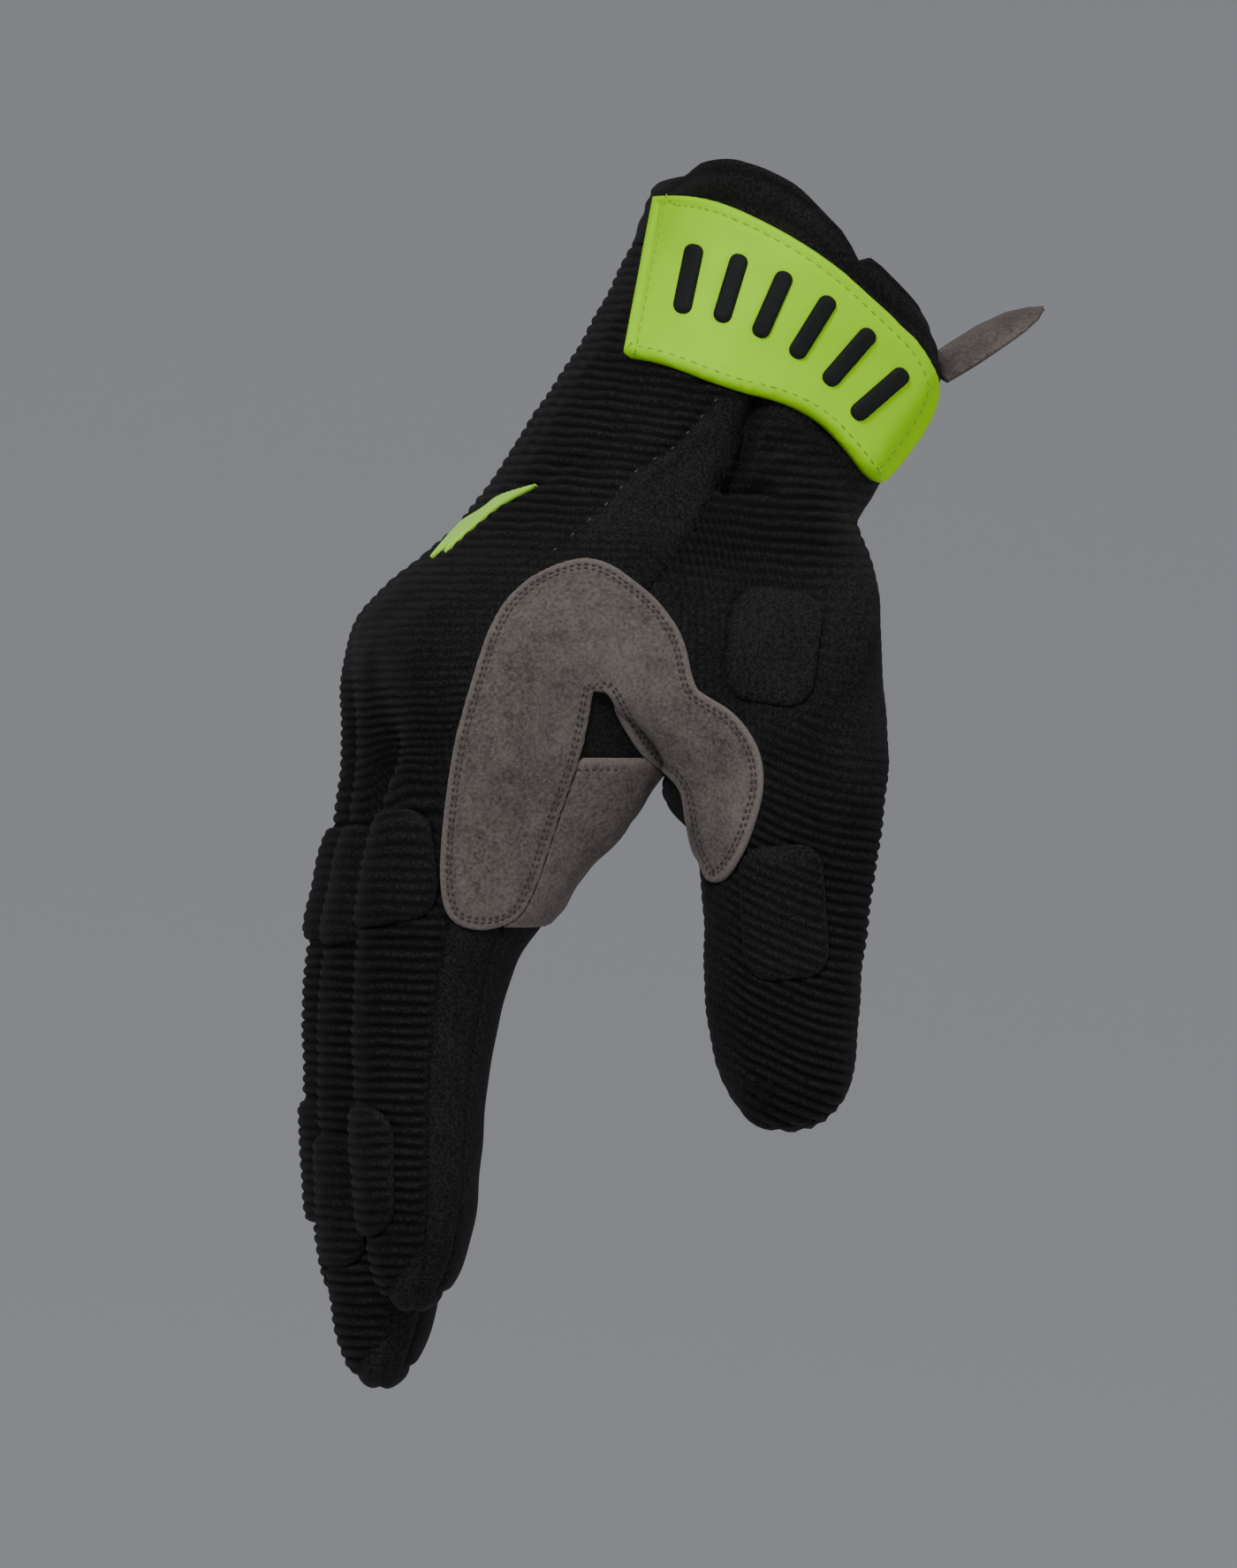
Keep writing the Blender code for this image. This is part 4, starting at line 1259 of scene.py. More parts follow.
def black_rubber():
    found = bpy.data.materials.get("black rubber")
    if found:
        return found
    bars = tuple(settings().colours.bars)
    made, tree, shader, position = new_material("black rubber")
    grain = add_node(tree, "ShaderNodeTexNoise", {"Vector": position, "Scale": 1400.0, "Detail": 2.0})
    pale = tuple(c * 1.6 for c in bars)
    tree.links.new(blended(tree, grain.outputs[0], bars, pale), shader.inputs["Base Color"])
    set_inputs(shader, Roughness=0.7, Specular_IOR_Level=0.10)
    bump(tree, shader, grain.outputs[0], 0.00006, 0.6)
    return made


def lime_tape():
    found = bpy.data.materials.get("lime tape")
    if found:
        return found
    lime = tuple(settings().colours.lime)
    made, tree, shader, position = new_material("lime tape")
    knit = add_node(tree, "ShaderNodeGroup", {"Position": position, "Loops": 2200.0}, node_tree=knit_group())
    pale = tuple(min(1.0, c * 0.8 + 0.12) for c in lime)
    tree.links.new(blended(tree, knit.outputs["Shade"], lime, pale), shader.inputs["Base Color"])
    set_inputs(shader, Roughness=0.8, Sheen_Weight=0.2)
    bump(tree, shader, knit.outputs["Height"], 0.0001)
    return made


def thread(name="thread", lighter=1.0):
    found = bpy.data.materials.get(name)
    if found:
        return found
    colour = tuple(min(1.0, c * lighter) for c in settings().colours.thread)
    made, tree, shader, position = new_material(name)
    twist = add_node(tree, "ShaderNodeTexNoise", {"Vector": position, "Scale": 3500.0, "Detail": 1.0})
    pale = tuple(min(1.0, c * 1.8) for c in colour)
    tree.links.new(blended(tree, twist.outputs[0], colour, pale), shader.inputs["Base Color"])
    set_inputs(shader, Roughness=0.6, Sheen_Weight=0.1)
    return made


def strap_thread():
    found = bpy.data.materials.get("strap thread")
    if found:
        return found
    lime = tuple(c * 0.42 for c in settings().colours.lime)
    made, tree, shader, position = new_material("strap thread")
    twist = add_node(tree, "ShaderNodeTexNoise", {"Vector": position, "Scale": 3500.0, "Detail": 1.0})
    pale = tuple(c * 1.5 for c in lime)
    tree.links.new(blended(tree, twist.outputs[0], lime, pale), shader.inputs["Base Color"])
    set_inputs(shader, Roughness=0.6, Sheen_Weight=0.1)
    return made


# Ribs


def counted(level):
    """How many ribs lie between a height and the top, with the pitch that each height has."""
    heights = np.linspace(-2.2, 0.3, 1001)
    table = sorted(PITCHES)
    pitch = np.interp(heights, [row[0] for row in table], [row[1] for row in table])
    total = np.concatenate(((0,), np.cumsum(1 / pitch[1:]))) * (heights[1] - heights[0])
    return np.interp(level, heights, total)


def by_height(table, z, column=1):
    rows = sorted(table)
    return np.interp(z, [row[0] for row in rows], [row[column] for row in rows])


def back_count(points):
    """The count of ribs over the back of the hand and the fingers."""
    x, z = points[:, 0] / BREADTH, points[:, 2] / BREADTH
    middle = np.interp(-z, (-0.13, 0.72, 1.1, 2.0), (-0.10, -0.62, -0.68, -0.70))
    level = z + by_height(FALLS, z) * (x - middle)
    level -= 0.034 * smoothstep(x, -0.735, -0.665) * np.exp(-(((z + 0.90) / 0.08) ** 2))
    level += 0.0022 * waves(points, 110.0)
    return counted(level)


def thumb_count(points):
    """The count of ribs round the thumb, falling away from the fingers."""
    x, z = (v / BREADTH for v in seen(points))
    fall = 0.27 * x - 0.85 * x * x * np.sign(0.16 - x)
    level = z + by_height(THUMB_FALLS, z) * fall
    return (level + 0.0020 * waves(points, 120.0)) / THUMB_PITCH + 200


def covers():
    """Outlines under which the cloth lies flat."""
    yield smooth_outline(CROTCH_PATCH, CROTCH_CORNERS), -0.02
    yield smooth_outline(STRAP_OUTLINE, STRAP_CORNERS, 1), -0.02


def flattened(points, normals, strength):
    """Takes the ribs away below the patches and the strap."""
    x, z = seen(points)
    for outline, far in covers():
        near = (points[:, 1] < far * BREADTH) & (normals @ SIGHT < 0.4)
        away = outline_distance(outline, x[near], z[near])
        strength[near] *= smoothstep(away, -0.0008, 0.0014)
    return strength


def side_of(line, x, z):
    """Positive above and left of a line that runs up to the right on the drawing plane."""
    line = np.array(sorted(line)) * BREADTH
    return z - np.interp(x, line[:, 0], line[:, 1])


def back_strength(points, normals):
    x, z = seen(points)
    strength = by_height(BACK_RIBS, z / BREADTH)
    near = (points[:, 1] < -0.05 * BREADTH) & (normals @ SIGHT < 0.2)
    below = smoothstep(-side_of(THREAD_SEAM, x, z), -0.0006, 0.0006) * smoothstep(z, -0.053, -0.045)
    strength[near] *= (1 - 0.9 * below)[near]
    return strength


def thumb_strength(points, normals):
    """Strong ribs on the side seen, weak ones round its left and, low down, round its right."""
    x, z = (v / BREADTH for v in seen(points))
    left, right = by_height(THUMB_RIBS, z, 1), by_height(THUMB_RIBS, z, 2)
    share = smoothstep(x, 0.02, 0.11)
    turned = smoothstep(-normals[:, 0], 0.5, 0.95)
    turned += smoothstep(normals[:, 0], 0.6, 0.95) * smoothstep(-z, 1.15, 1.25)
    return (left * (1 - share) + right * share) * (1 - 0.7 * turned)


def tip_strength(finger, points):
    """1 on the ribbed part of a finger, 0 past its rounded end, with a soft step between."""
    across = (points[:, 1] / BREADTH - finger.middle_y) / finger.half
    end = finger.tip_z + 0.022 + 0.16 * (1 - np.sqrt(np.clip(1 - across**2, 0, 1)))
    return (points[:, 2] / BREADTH - end) * BREADTH


def seam_depth(form, sheet, panels, joined):
    """How far each point of a sheet lies from the sewn borders of its panel."""
    seams = form.seam_points(panels, joined)
    if not len(seams):
        return np.full(len(sheet.points), 1.0)
    tree = KDTree(len(seams))
    for i, point in enumerate(seams):
        tree.insert(point, i)
    tree.balance()
    return np.array([tree.find(point)[2] for point in sheet.points])


# Pieces


class Weave(NamedTuple):
    """A panel of cloth: its steps across, its kind and the panels that it runs into unsewn."""

    name: str
    across: object
    kind: str
    joined: tuple


def hand_steps(column):
    """The hand's back is built finest on the thumb's side, where its seams and folds run aslant."""
    return 9 if column < 6 else 6


def weaves():
    fingers = [finger.name for finger in FINGERS]
    backs = tuple(f"{name}_back" for name in fingers)
    fronts = tuple(f"{name}_front" for name in fingers)
    yield Weave("hand_back", hand_steps, "back", (*backs, "thumb_back", "thumb_front", "palm", "cuff"))
    yield Weave("palm", 8, "plain", (*fronts, "thumb_front", "thumb_back", "hand_back", "cuff"))
    yield Weave("thumb_back", 20, "thumb", ("hand_back", "palm", "thumb_front"))
    yield Weave("thumb_front", 8, "thumb", ("hand_back", "palm", "thumb_back"))
    for name in fingers:
        yield Weave(f"{name}_back", 8, "finger", ("hand_back",))
        yield Weave(f"{name}_band", 10, "plain", ("palm", "hand_back"))
        yield Weave(f"{name}_front", 8, "plain", ("palm",))


FORM = []


def the_form():
    """The form, made once and shared by all the pieces."""
    if not FORM:
        FORM.append(Form())
    return FORM[0]


def rib_values(weave, sheet, sizes, away):
    points, normals = sheet.points, sheet.normals
    count = np.zeros(len(points))
    strength = np.zeros(len(points))
    edge = away
    if weave.kind in ("back", "finger"):
        count, strength = back_count(points), back_strength(points, normals)
    if weave.kind == "thumb":
        count, strength = thumb_count(points), thumb_strength(points, normals)
    if weave.kind == "finger":
        finger = next(f for f in FINGERS if weave.name.startswith(f.name))
        edge = np.minimum(away, np.abs(tip_strength(finger, points)))
        strength *= tip_strength(finger, points) > 0
    strength *= smoothstep(edge, 0.3 * sizes.seam_width, 1.3 * sizes.seam_width)
    return count, flattened(points, normals, strength), edge


def cloth_panel(form, weave):
    """A closed wall of cloth with sewn edges and, where the panel has them, ribs."""
    sizes = settings().fabric
    fine = sizes.plain_step if weave.kind == "plain" else sizes.rib_step
    chosen = form.faces_of(weave.name)
    sheet = form.sheet(chosen, form.woven(weave.name, weave.across, fine), creased=True)
    away = seam_depth(form, sheet, (weave.name,), weave.joined)
    count, strength, edge = rib_values(weave, sheet, sizes, away)
    high = -sizes.seam * np.exp(-((edge / sizes.seam_width) ** 2))
    mesh = shell(weave.name + "_cloth", sheet, high, -sizes.wall, rib_count=count, rib_strength=strength)
    obj = link(weave.name + "_cloth", mesh)
    plain = weave.kind == "plain"
    material = plain_cloth() if plain else rib_cloth()
    apply_tree(obj, rib_tree(), Height=sizes.rib, Roughness=0.8, Material=material)
    return finished(obj, "plain_knit" if plain or weave.name == "thumb_front" else "rib_knit", weave.name)


def cuff_piece(form):
    """The smooth binding of the wrist, with faint folds round it, a notch and a rolled rim."""
    sheet = form.sheet(form.faces_of("cuff"), lambda face: (8, 40))
    x, z = seen(sheet.points)
    x = x / BREADTH
    front = smoothstep(-sheet.normals @ SIGHT, -0.2, 0.4)
    roll = domed(sheet.down, 0.12)
    up = (1 - sheet.down) ** 1.5
    raised = np.interp(x, [row[0] for row in RIM], [row[1] for row in RIM])
    notch = 2.0 * np.exp(-(((x - 0.112) / 0.014) ** 2)) * np.exp(-((sheet.down / 0.22) ** 2))
    sheet.points[:, 2] += (raised * up - notch) * front * 0.001
    sheet.points[:, 0] += 0.0012 * up * smoothstep(-x, 0.08, 0.16) * front
    lines = 0.5 + 0.5 * np.cos(2 * math.pi * (sheet.down * 2.6 + 0.10 * waves(sheet.points, 30.0)))
    high = 0.0002 + 0.00028 * lines - 0.0010 * (1 - roll)
    high -= 0.0008 * np.exp(-(((x - 0.115 - 0.05 * sheet.down) / 0.010) ** 2)) * front
    low = -0.0017 + 0.0008 * (1 - roll)
    # The hollow attribute paints shade into the troughs of the faint folds round the cuff.
    obj = link("cuff_binding", shell("cuff_binding", sheet, high, low, hollow=0.5 * (1 - lines) ** 4))
    obj.data.materials.append(plain_cloth())
    return finished(obj, "plain_knit", "cuff")


def laid_sheet(form, outline, facing, steps, far, near=-1.0, panels=None, lift=0.0):
    """The part of the form whose points, lifted off it, lie inside an outline drawn from the thumb side."""
    corners = np.array(outline) * BREADTH
    margin = 2 * lift + 0.002
    low, high = corners.min(axis=0) - margin, corners.max(axis=0) + margin
    chosen = form.faces_near(low, high, facing + 0.25, panels)
    sheet = form.sheet(chosen, lambda face: steps)
    field = outline_distance(outline, *seen(sheet.points + sheet.normals * lift))
    field = np.maximum(field, (sheet.normals @ SIGHT - facing) * 0.02)
    field = np.maximum(field, sheet.points[:, 1] - far * BREADTH)
    sheet = largest(sheet.cut(np.maximum(field, near * BREADTH - sheet.points[:, 1])))
    inside = -outline_distance(outline, *seen(sheet.points + sheet.normals * lift))
    return sheet, np.maximum(inside, 0.0)


def crotch_patch(form):
    sizes = settings().fabric
    outline = smooth_outline(CROTCH_PATCH, CROTCH_CORNERS)
    sheet, depth = laid_sheet(form, outline, 0.45, (24, 24), -0.2, lift=sizes.suede)
    hem = 1 - smoothstep(depth, 0.0001, 0.0012)
    furrow = np.exp(-(((depth - 0.0015) / 0.00035) ** 2))
    high = sizes.gap + sizes.suede * (0.25 + 0.75 * domed(depth, 0.0007)) - 0.00022 * furrow
    high += 0.00012 * waves(sheet.points, 160.0)
    obj = link("crotch_suede", shell("crotch_suede", sheet, high, sizes.gap * 0.3, hem=hem))
    obj.data.materials.append(suede())
    return finished(obj, "suede", "crotch_patch")


def largest(sheet):
    """The sheet's largest connected part."""
    parent = list(range(len(sheet.points)))

    def root(v):
        while parent[v] != v:
            parent[v] = parent[parent[v]]
            v = parent[v]
        return v

    for face in sheet.faces:
        first = root(face[0])
        for v in face[1:]:
            parent[root(v)] = first
    groups = {}
    for face in sheet.faces:
        groups.setdefault(root(face[0]), []).append(face)
    used, faces = renumbered(max(groups.values(), key=len))
    return Sheet(sheet.points[used], sheet.normals[used], sheet.down[used], faces)


def palm_suede(form):
    """The suede on the palm below the fingers, drawn from the palm side and clear of the other patch."""
    sizes = settings().fabric
    outline = smooth_outline(PALM_PATCH, PALM_CORNERS)
    panels = {"palm", "hand_back"} | {f"{finger.name}_{part}" for finger in FINGERS for part in ("front", "band")}
    chosen = [i for i in form.faces_of(*panels) if form.middles[i, 0] > -0.66 * BREADTH]
    sheet = form.sheet(chosen, lambda face: (20, 20))
    field = outline_distance(outline, sheet.points[:, 1], sheet.points[:, 2])
    field = np.maximum(field, (-0.45 - sheet.normals[:, 0]) * 0.02)
    facing = sheet.normals @ SIGHT < 0.1
    raised = sheet.points + sheet.normals * sizes.suede
    patch = outline_distance(smooth_outline(CROTCH_PATCH, CROTCH_CORNERS), *seen(raised))
    field = np.maximum(field, np.where(facing, -patch, -1.0))
    sheet = largest(sheet.cut(field))
    depth = np.maximum(-outline_distance(outline, sheet.points[:, 1], sheet.points[:, 2]), 0)
    hem = 1 - smoothstep(depth, 0.0001, 0.0012)
    furrow = np.exp(-(((depth - 0.0015) / 0.00035) ** 2))
    high = sizes.gap + sizes.suede * (0.10 + 0.90 * domed(depth, 0.0025)) - 0.00022 * furrow
    folds = 0.0009 * waves(sheet.points, 48.0) * smoothstep(depth, 0.0010, 0.0040)
    high += np.maximum(folds + 0.00012 * waves(sheet.points, 160.0), -0.0008 * smoothstep(depth, 0.0, 0.003))
    obj = link("palm_suede", shell("palm_suede", sheet, high, sizes.gap * 0.3, hem=hem))
    obj.data.materials.append(suede())
    return finished(obj, "suede", "palm_patch")


def strap_piece(form):
    """The lime strap: a thick sheet with a sewn groove inside its edge and a rolled lower lip."""
    sizes = settings().fabric
    outline = smooth_outline(STRAP_OUTLINE, STRAP_CORNERS, 2)
    sheet, depth = laid_sheet(form, outline, 0.5, (24, 24), 0.10, lift=0.6 * sizes.strap)
    groove = np.exp(-(((depth - 0.0018) / 0.00030) ** 2))
    lip = np.exp(-(((depth - 0.0009) / 0.0007) ** 2))
    high = sizes.gap + sizes.strap * (0.35 + 0.65 * domed(depth, 0.0012)) - 0.00035 * groove + 0.00025 * lip
    obj = link("strap_rubber", shell("strap_rubber", sheet, high, sizes.gap * 0.5))
    obj.data.materials.append(lime_rubber())
    return finished(obj, "lime_rubber", "strap")


def strap_bars(form):
    """Plain raised bars on the strap."""
    sizes = settings().fabric
    for n, (x, z, lean) in enumerate(GRIPS, 1):
        name = f"strap_grip_{n}"
        bar = Pad(name, (), x, z, GRIP_WIDE, GRIP_TALL, lean, -1.0, -0.15, 0.0)
        outline = rounded_rectangle(bar, 0.45)
        base = sizes.gap + sizes.strap
        sheet, depth = laid_sheet(form, outline, 0.5, (48, 48), 0.05, lift=base)
        high = base + sizes.grip * (0.15 + 0.85 * domed(depth, 0.0009))
        obj = link(f"strap_bar_{n}", shell(f"strap_bar_{n}", sheet, high, base - 0.0004))
        obj.data.materials.append(black_rubber())
        finished(obj, "black_rubber", name)


def accent_piece(form):
    sizes = settings().fabric
    outline = smooth_outline(ACCENT_TRIM, (0, 6, 7, 8))
    sheet, depth = laid_sheet(form, outline, 0.5, (40, 40), 0.05, lift=sizes.trim)
    high = sizes.gap + sizes.trim * (0.3 + 0.7 * domed(depth, 0.0007))
    obj = link("accent_tape", shell("accent_tape", sheet, high, -0.0002))
    obj.data.materials.append(lime_tape())
    return finished(obj, "lime_tape", "back_accent")


def pad_piece(form, pad):
    """A soft pad under ribbed cloth: crowned, round at its edges, with the ribs running on over it."""
    sizes = settings().fabric
    outline = rounded_rectangle(pad)
    thumb = pad.name.startswith("thumb")
    tall = sizes.pad * (0.6 if thumb else 1.0)
    sheet, depth = laid_sheet(form, outline, 0.8, (18, 80), pad.far, pad.near, pad.panels, tall)
    count = thumb_count(sheet.points) if thumb else back_count(sheet.points)
    x, z = (v / BREADTH for v in seen(sheet.points))
    upper = smoothstep(pad.z + 0.38 * pad.tall - z, -0.012, 0.012)
    strength = pad.ribs * (upper if thumb else 1.0) * smoothstep(depth, 0.0002, 0.0010)
    crown = 0.6 * domed(depth, 0.0014) + 0.4 * domed(depth, 0.3 * pad.wide * BREADTH)
    high = sizes.gap * 0.5 + tall * crown
    name = pad.name + "_cloth"
    obj = link(name, shell(name, sheet, high, -0.0004, rib_count=count, rib_strength=strength))
    apply_tree(obj, rib_tree(), Height=sizes.rib, Roughness=0.8, Material=rib_cloth())
    finished(obj, "plain_knit", pad.name)


def tab_piece():
    """The suede tongue at the strap's end: two layers folded over, with soft edges."""
    sizes = settings().fabric
    columns = np.linspace(-1, 1, 25)
    steps = np.linspace(0, len(TAB_STEPS) - 1, 61)
    table = np.array(TAB_STEPS)
    x, z, half, thick = (np.interp(steps, range(len(TAB_STEPS)), table[:, k]) for k in range(4))
    half = half * np.sqrt(np.clip(1 - (steps / steps[-1]) ** 4, 0, 1))
    along = np.stack((np.gradient(x), np.gradient(z)), axis=1)
    along /= np.linalg.norm(along, axis=1)[:, None]
    outer, inner = [], []
    for i in range(len(steps)):
        up = np.array((-along[i, 1], 0.0, along[i, 0]))
        side = np.array((0.0, math.cos(TAB_TURN), 0.0)) + up * math.sin(TAB_TURN)
        thin = sizes.tab * thick[i] / 2 * min(1.0, 0.3 + (len(steps) - 1 - i) / 8)
        for c in columns:
            middle = (np.array((x[i], TAB_Y, z[i])) + side * c * half[i]) * BREADTH
            rise = thin * (0.15 + 0.85 * math.sqrt(max(0.0, 1 - (max(abs(c) - 0.86, 0) / 0.14) ** 2)))
            sag = 0.0004 * math.sin(3 * c + 0.05 * i)
            outer.append(middle + up * (sag + rise))
            inner.append(middle + up * (sag - rise))
    count = len(outer)
    wide = len(columns)
    faces = []
    for i in range(len(steps) - 1):
        for j in range(wide - 1):
            a = i * wide + j
            faces.append((a, a + 1, a + 1 + wide, a + wide))
    edges = set()
    for face in faces:
        edges |= set(zip(face, face[1:] + face[:1]))
    rim = [(b, a, a + count, b + count) for a, b in edges if (b, a) not in edges]
    faces = faces + [tuple(v + count for v in reversed(face)) for face in faces] + sorted(rim)
    mesh = mesh_from("pull_tab_suede", np.array(outer + inner), faces)
    face_outward(mesh)
    obj = link("pull_tab_suede", mesh)
    obj.data.materials.append(suede())
    return finished(obj, "suede", "pull_tab")


def face_outward(mesh):
    shape = bmesh.new()
    shape.from_mesh(mesh)
    bmesh.ops.recalc_face_normals(shape, faces=shape.faces)
    shape.to_mesh(mesh)
    shape.free()


# Stitches


def inset_line(outline, inset, closed=True):
    """The outline moved inwards, in metres on the drawing plane."""
    points = np.array(outline) * BREADTH
    after, before = np.roll(points, -1, axis=0), np.roll(points, 1, axis=0)
    if not closed:
        after[-1], before[0] = points[-1], points[0]
    way = after - before
    way /= np.linalg.norm(way, axis=1)[:, None] + 1e-12
    side = np.stack((-way[:, 1], way[:, 0]), axis=1)
    turn = (points[:, 0] * after[:, 1] - after[:, 0] * points[:, 1]).sum()
    moved = points + side * inset * (1 if turn > 0 or not closed else -1)
    return np.vstack((moved, moved[:1])) if closed else moved


def fine_line(line, step=0.0006):
    """The same line with a point every step."""
    points = [line[0]]
    for a, b in zip(line, line[1:]):
        count = max(1, math.ceil(np.linalg.norm(b - a) / step))
        points += [a + (b - a) * k / count for k in range(1, count + 1)]
    return points


def thrown_on(line, objects, lift, farthest):
    """Runs of a line on the drawing plane that fall on the pieces, as points a little above them."""
    trees = []
    for obj in objects:
        points = [v.co for v in obj.data.vertices]
        trees.append(BVHTree.FromPolygons(points, [tuple(p.vertices) for p in obj.data.polygons]))
    runs, run = [], []
    sight = Vector(SIGHT)
    for x, z in fine_line(line):
        start = Vector((x, OUTLINE_Y * BREADTH, z)) - sight * 0.3
        hits = [tree.ray_cast(start, sight) for tree in trees]
        hits = [hit for hit in hits if hit[0] is not None and hit[0].y < farthest * BREADTH]
        best = min(hits, key=lambda hit: hit[3]) if hits else None
        spot = None if best is None else best[0] + best[1] * lift
        if spot is None or (run and (spot - run[-1]).length > 0.004):
            if len(run) > 3:
                runs.append(run)
            run = []
        if spot is not None:
            run.append(spot)
    if len(run) > 3:
        runs.append(run)
    return runs


def stitch_piece(name, runs, slot, material, pitch=None, length=None, thick=None):
    sizes = settings().stitches
    points, edges = [], []
    for run in runs:
        start = len(points)
        points += [tuple(p) for p in run]
        edges += [(start + k, start + k + 1) for k in range(len(run) - 1)]
    mesh = bpy.data.meshes.new(name)
    mesh.from_pydata(points, edges, [])
    obj = link(name, mesh)
    apply_tree(
        obj, stitch_tree(), Pitch=pitch or sizes.pitch, Length=length or sizes.length,
        Radius=thick or sizes.thick, Sides=sizes.sides, Material=material,
    )
    obj.data.shade_smooth()
    return finished(obj, slot)


def patch_stitches():
    """Two rows of stitches round the crotch suede, and one along the palm suede's hem."""
    sizes = settings().stitches
    cloth = bpy.data.objects["crotch_suede"]
    outline = smooth_outline(CROTCH_PATCH, CROTCH_CORNERS)
    runs = []
    for row in (0, 1):
        inset = sizes.inset + row * sizes.rows
        runs += thrown_on(inset_line(outline, inset), [cloth], 0.0, -0.2)
    hem = np.array(PALM_HEM) * BREADTH
    runs += thrown_on(hem, [bpy.data.objects["palm_suede"]], 0.0, 0.5)
    stitch_piece("suede_stitches", runs, "suede", thread())


def strap_stitches():
    sizes = settings().stitches
    strap = bpy.data.objects["strap_rubber"]
    outline = smooth_outline(STRAP_OUTLINE, STRAP_CORNERS, 2)
    runs = thrown_on(inset_line(outline, 0.0018), [strap], 0.0, -0.02)
    stitch_piece(
        "strap_stitches", runs, "lime_rubber", strap_thread(), 0.0021, 0.0013, 0.8 * sizes.thick
    )


def seam_stitches():
    """Small pale stitches that show in the seam above the suede."""
    cloth = [bpy.data.objects["hand_back_cloth"]]
    line = np.array(THREAD_SEAM) * BREADTH
    runs = thrown_on(line, cloth, 0.0, -0.05)
    stitch_piece("seam_stitches", runs, "plain_knit", thread("seam thread", 4.0), 0.0036, 0.0008, 0.00016)


# The stage


def floor_and_backdrop(sizes, colour):
    """A pale floor that curves up into a wall behind the glove."""
    bend = 0.8 * sizes.room
    profile = [(-sizes.room, 0.0)]
    for k in range(17):
        angle = math.pi / 2 * k / 16
        profile.append((sizes.room - bend + bend * math.sin(angle), bend - bend * math.cos(angle)))
    profile.append((sizes.room, 2 * sizes.room))
    points, faces = [], []
    for y, z in profile:
        points += [(-2 * sizes.room, y, sizes.floor_z + z), (2 * sizes.room, y, sizes.floor_z + z)]
    for k in range(len(profile) - 1):
        faces.append((2 * k, 2 * k + 1, 2 * k + 3, 2 * k + 2))
    mesh = bpy.data.meshes.new("floor")
    mesh.from_pydata(points, [], faces)
    mesh.shade_smooth()
    floor = link("floor", mesh)
    made, _, shader, _ = new_material("floor")
    shader.inputs["Base Color"].default_value = (*colour, 1.0)
    set_inputs(shader, Roughness=0.9, Specular_IOR_Level=0.1)
    floor.data.materials.append(made)


def soft_light(name, place, target, size, power):
    light = bpy.data.lights.new(name, "AREA")
    light.shape, light.size, light.energy = "DISK", size, power
    obj = bpy.data.objects.new(name, light)
    bpy.context.scene.collection.objects.link(obj)
    obj.location = place
    obj.rotation_euler = (Vector(target) - Vector(place)).to_track_quat("-Z", "Y").to_euler()


def build_stage():
    sizes = settings().stage
    target = Vector((-0.030, -0.030, -0.0904))
    floor_and_backdrop(sizes, tuple(settings().colours.floor))
    soft_light("key light", (-0.7, -1.5, 1.1), target, 0.7, 26.0)
    soft_light("fill light", (1.4, -1.4, 0.3), target, 1.0, 7.5)
    soft_light("top light", (0.2, -0.3, 1.7), target, 0.8, 5.0)
    world = bpy.data.worlds.new("studio")
    bpy.context.scene.world = world
    world.use_nodes = True
    world.node_tree.nodes["Background"].inputs["Color"].default_value = (0.96, 0.97, 1.00, 1.0)
    world.node_tree.nodes["Background"].inputs["Strength"].default_value = 0.34
    camera = bpy.data.cameras.new("camera")
    camera.lens = sizes.lens
    obj = bpy.data.objects.new("camera", camera)
    bpy.context.scene.collection.objects.link(obj)
    obj.location = target - Vector(SIGHT) * sizes.distance
    obj.rotation_euler = Vector(SIGHT).to_track_quat("-Z", "Y").to_euler()
    bpy.context.scene.camera = obj


# Operators, panel and registration


class GloveSettings(PropertyGroup):
    """All the sizes and colours of the glove and its stage."""

    fabric: PointerProperty(name="Fabric", description="Thicknesses and reliefs", type=FabricSizes)
    stitches: PointerProperty(name="Stitches", description="Sizes of the stitches", type=StitchSizes)
    colours: PointerProperty(name="Colours", description="Colours of the glove", type=Colours)
    stage: PointerProperty(name="Stage", description="Camera, floor and lights", type=StageSizes)


class GLOVE_OT_panels(Operator):
    """Builds the panels of cloth: back, palm, thumb and fingers"""

    bl_idname = "glove.panels"
    bl_label = "Cloth panels"

    def execute(self, context):
        for weave in weaves():
            cloth_panel(the_form(), weave)
        return {"FINISHED"}


class GLOVE_OT_cuff(Operator):
    """Builds the bound rim of the wrist"""

    bl_idname = "glove.cuff"
    bl_label = "Cuff"

    def execute(self, context):
        cuff_piece(the_form())
        return {"FINISHED"}


class GLOVE_OT_suede(Operator):
    """Builds the suede patches and the pull tab"""

    bl_idname = "glove.suede"
    bl_label = "Suede"

    def execute(self, context):
        crotch_patch(the_form())
        palm_suede(the_form())
        tab_piece()
        return {"FINISHED"}


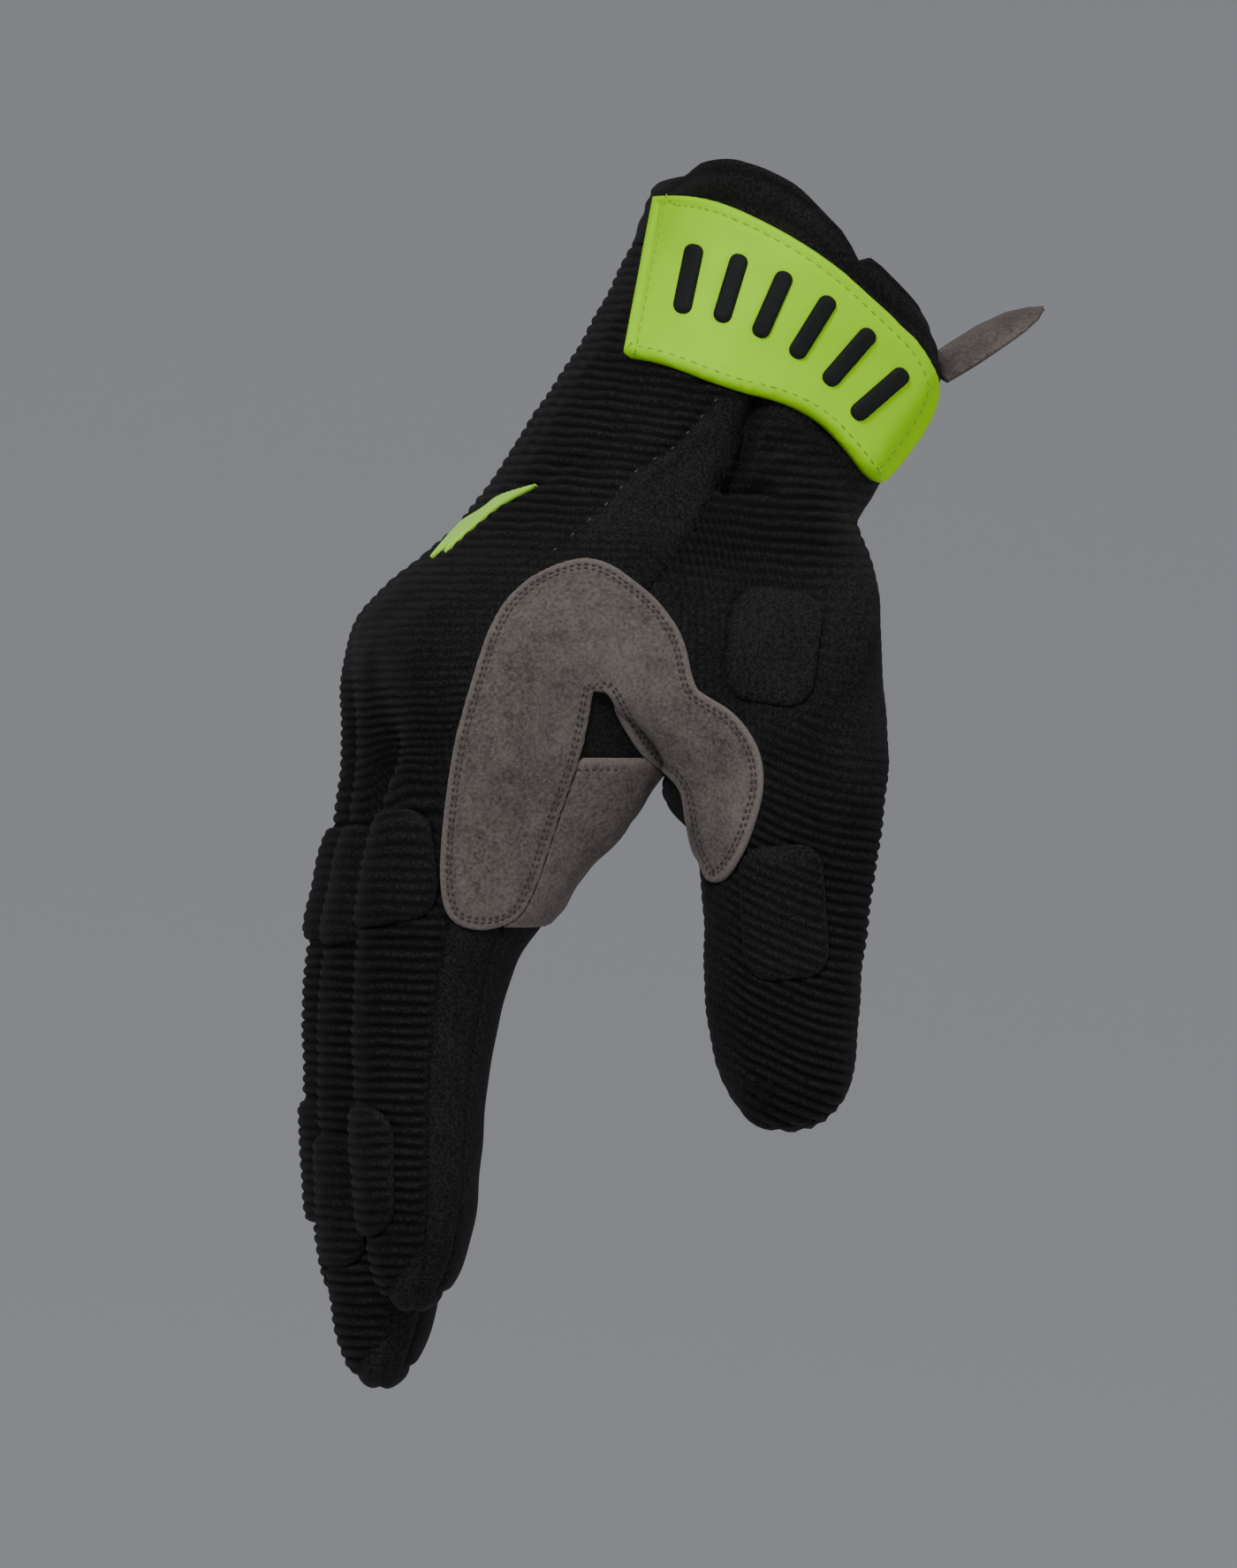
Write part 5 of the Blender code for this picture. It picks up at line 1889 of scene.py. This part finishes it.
class GLOVE_OT_strap(Operator):
    """Builds the strap with its bars, and the lime trim"""

    bl_idname = "glove.strap"
    bl_label = "Strap and trim"

    def execute(self, context):
        strap_piece(the_form())
        strap_bars(the_form())
        accent_piece(the_form())
        return {"FINISHED"}


class GLOVE_OT_pads(Operator):
    """Builds the raised pads on the fingers and the thumb"""

    bl_idname = "glove.pads"
    bl_label = "Pads"

    def execute(self, context):
        for pad in PADS:
            pad_piece(the_form(), pad)
        return {"FINISHED"}


class GLOVE_OT_stitches(Operator):
    """Sews the stitches of the suede, the strap and the seams"""

    bl_idname = "glove.stitches"
    bl_label = "Stitches"

    def execute(self, context):
        patch_stitches()
        strap_stitches()
        seam_stitches()
        return {"FINISHED"}


class GLOVE_OT_stage(Operator):
    """Sets up the floor, the lights and the camera"""

    bl_idname = "glove.stage"
    bl_label = "Stage"

    def execute(self, context):
        build_stage()
        return {"FINISHED"}


STEPS = (
    GLOVE_OT_panels,
    GLOVE_OT_cuff,
    GLOVE_OT_suede,
    GLOVE_OT_strap,
    GLOVE_OT_pads,
    GLOVE_OT_stitches,
    GLOVE_OT_stage,
)


class GLOVE_PT_sidebar(Panel):
    """Lists the steps and the sizes"""

    bl_label = "Glove"
    bl_idname = "GLOVE_PT_sidebar"
    bl_space_type = "VIEW_3D"
    bl_region_type = "UI"
    bl_category = "Glove"

    def draw(self, context):
        for step in STEPS:
            self.layout.operator(step.bl_idname)
        for group in ("fabric", "stitches", "colours", "stage"):
            box = self.layout.box()
            held = getattr(context.scene.glove, group)
            for name in held.bl_rna.properties.keys():
                if name not in ("rna_type", "name"):
                    box.prop(held, name)


CLASSES = (FabricSizes, StitchSizes, Colours, StageSizes, GloveSettings, *STEPS, GLOVE_PT_sidebar)


def register():
    for cls in CLASSES:
        bpy.utils.register_class(cls)
    bpy.types.Scene.glove = PointerProperty(type=GloveSettings)


def unregister():
    del bpy.types.Scene.glove
    for cls in reversed(CLASSES):
        bpy.utils.unregister_class(cls)


def main():
    register()
    for step in STEPS:
        family, name = step.bl_idname.split(".")
        getattr(getattr(bpy.ops, family), name)()


if __name__ == "__main__":
    main()
